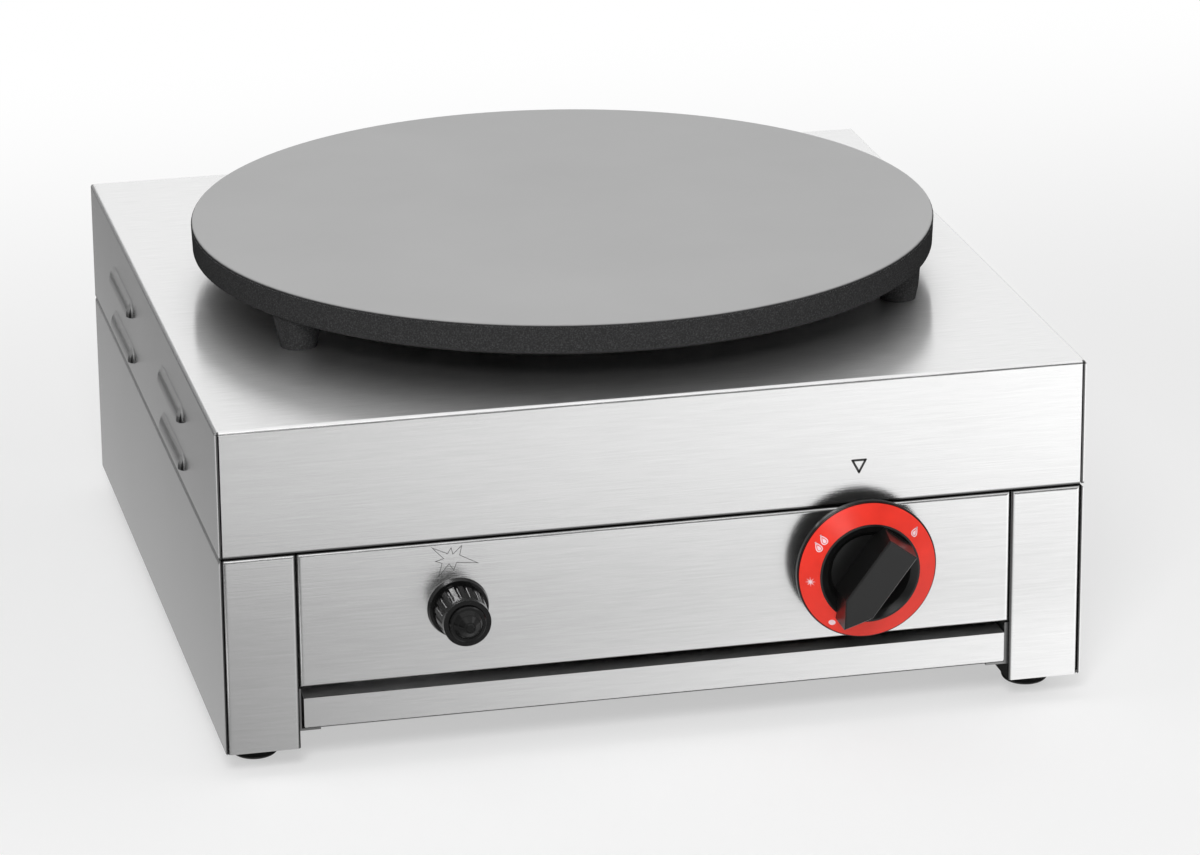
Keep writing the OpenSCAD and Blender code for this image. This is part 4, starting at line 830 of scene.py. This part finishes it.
class CREPE_OT_front_signs(bpy.types.Operator):
    """Prints the pointer above the knob and the spark above the igniter"""

    bl_idname = "crepe.front_signs"
    bl_label = "Front signs"

    def execute(self, context):
        looks = context.scene.crepe_signs
        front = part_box("control_panel")[0].y
        mesh = bmesh.new()
        add_print(mesh, POINTER_CORNERS, looks.pointer_line, looks.pointer_blunt)
        place = Matrix.Translation((looks.pointer_across, front, looks.pointer_height))
        ink = printed_ink("pointer_ink", looks.pointer_ink)
        print_piece("pointer_sign", mesh, place, looks.height, "casing", ink)
        igniter = span("igniter_nut")[2]
        mesh = bmesh.new()
        add_print(mesh, SPARK_CORNERS, looks.spark_line)
        place = Matrix.Translation((igniter.x, front, igniter.z))
        ink = printed_ink("spark_ink", looks.spark_ink)
        print_piece("spark_sign", mesh, place, looks.height, "casing", ink)
        return {"FINISHED"}


class CREPE_OT_stage(bpy.types.Operator):
    """Sets up the floor, the light and the camera"""

    bl_idname = "crepe.stage"
    bl_label = "Studio"

    def execute(self, context):
        scene = context.scene
        looks = scene.crepe_studio
        scene.view_settings.view_transform = "Standard"
        self.floor()
        self.sky(scene, looks.sky)
        for name, place in LAMP_PLACES.items():
            self.lamp(name, place, getattr(looks, name))
        for name, (size, place, turn, left, right) in CARDS.items():
            self.card(name, size, place, turn, left, right)
        self.camera(scene, looks)
        return {"FINISHED"}

    def floor(self):
        """White paper that keeps the object's shadow and is plain white far behind it."""
        mesh = bmesh.new()
        bmesh.ops.create_grid(mesh, x_segments=4, y_segments=4, size=20.0)
        f = new_finish("studio_floor")
        speck = f.noise(f.at(), scale=3.0, detail=2.0)
        paper = f.principled({
            "Base Color": f.mix(speck, *PAPER),
            "Roughness": 0.9,
            "Specular IOR Level": 0.1,
        })
        white = f.node("ShaderNodeEmission", inputs={"Color": WHITE, "Strength": 1.0})
        far = f.axes(f.at())[1].above(*FLOOR_FADE)
        shown = (FLOOR_WHITE + (1.0 - FLOOR_WHITE) * far) * seen_rays(f)
        add_object("studio_floor", mesh, f.ends(f.blend(shown, paper, white)))

    def sky(self, scene, strength):
        """A sky that is white to the eye and in mirrors, and lights the object with its own strength."""
        world = bpy.data.worlds.new("studio_sky")
        scene.world = world
        f = Finish(world)
        shown = strength + seen_rays(f) * (1.0 - strength)
        light = f.node("ShaderNodeBackground", inputs={"Color": WHITE, "Strength": shown})
        f.node("ShaderNodeOutputWorld", inputs={"Surface": light})

    def lamp(self, name, place, power):
        """A round soft lamp that shines on the object's front."""
        data = bpy.data.lights.new(name, "AREA")
        data.shape = "DISK"
        data.size = LAMP_SIZE
        data.energy = power
        lamp = bpy.data.objects.new(name, data)
        lamp.location = place
        lamp.rotation_euler = (Vector(LAMP_TARGET) - Vector(place)).to_track_quat("-Z", "Y").to_euler()
        bpy.context.scene.collection.objects.link(lamp)

    def card(self, name, size, place, turn, left, right):
        """A glowing card that only mirrors show, with its own strength at its left and right edge."""
        mesh = bmesh.new()
        bmesh.ops.create_grid(mesh, x_segments=1, y_segments=1, size=0.5)
        bmesh.ops.scale(mesh, vec=(*size, 1.0), verts=mesh.verts[:])
        f = new_finish(name)
        across = f.axes(f.at())[0] * (1.0 / size[0]) + 0.5
        glow = f.node("ShaderNodeEmission", inputs={"Strength": left + across * (right - left)})
        card = add_object(name, mesh, f.ends(glow))
        card.location = place
        card.rotation_euler = turn
        for ray in HIDDEN_RAYS:
            setattr(card, f"visible_{ray}", False)

    def camera(self, scene, looks):
        """A camera at the photograph's viewing angle."""
        data = bpy.data.cameras.new("photo_camera")
        data.sensor_fit = "HORIZONTAL"
        data.sensor_width = 36.0
        data.lens = looks.lens
        data.clip_end = 100.0
        camera = bpy.data.objects.new("photo_camera", data)
        camera.location = looks.camera_place
        camera.rotation_euler = looks.camera_turn
        scene.collection.objects.link(camera)
        scene.camera = camera


class CREPE_PT_tools(bpy.types.Panel):
    """Lists the crepe maker's operators and looks"""

    bl_label = "Gas crepe maker"
    bl_idname = "CREPE_PT_tools"
    bl_space_type = "VIEW_3D"
    bl_region_type = "UI"
    bl_category = "Crepe maker"

    def draw(self, context):
        for operator in OPERATORS:
            self.layout.operator(operator.bl_idname)
        for name, group in GROUPS.items():
            box = self.layout.box()
            for key in group.__annotations__:
                box.prop(getattr(context.scene, name), key)


GROUPS = {
    "crepe_casing": CasingLooks,
    "crepe_griddle": GriddleLooks,
    "crepe_controls": ControlLooks,
    "crepe_springs": SpringLooks,
    "crepe_signs": SignLooks,
    "crepe_studio": StudioLooks,
}
OPERATORS = (
    CREPE_OT_casing, CREPE_OT_gas_line, CREPE_OT_griddle, CREPE_OT_controls, CREPE_OT_springs,
    CREPE_OT_dial_signs, CREPE_OT_front_signs, CREPE_OT_stage,
)
CLASSES = (*GROUPS.values(), *OPERATORS, CREPE_PT_tools)


def register():
    for made in CLASSES:
        bpy.utils.register_class(made)
    for name, group in GROUPS.items():
        setattr(bpy.types.Scene, name, PointerProperty(type=group))


def unregister():
    for name in GROUPS:
        delattr(bpy.types.Scene, name)
    for made in reversed(CLASSES):
        bpy.utils.unregister_class(made)


def main():
    register()
    for operator in OPERATORS:
        space, name = operator.bl_idname.split(".")
        getattr(getattr(bpy.ops, space), name)()


if __name__ == "__main__":
    main()
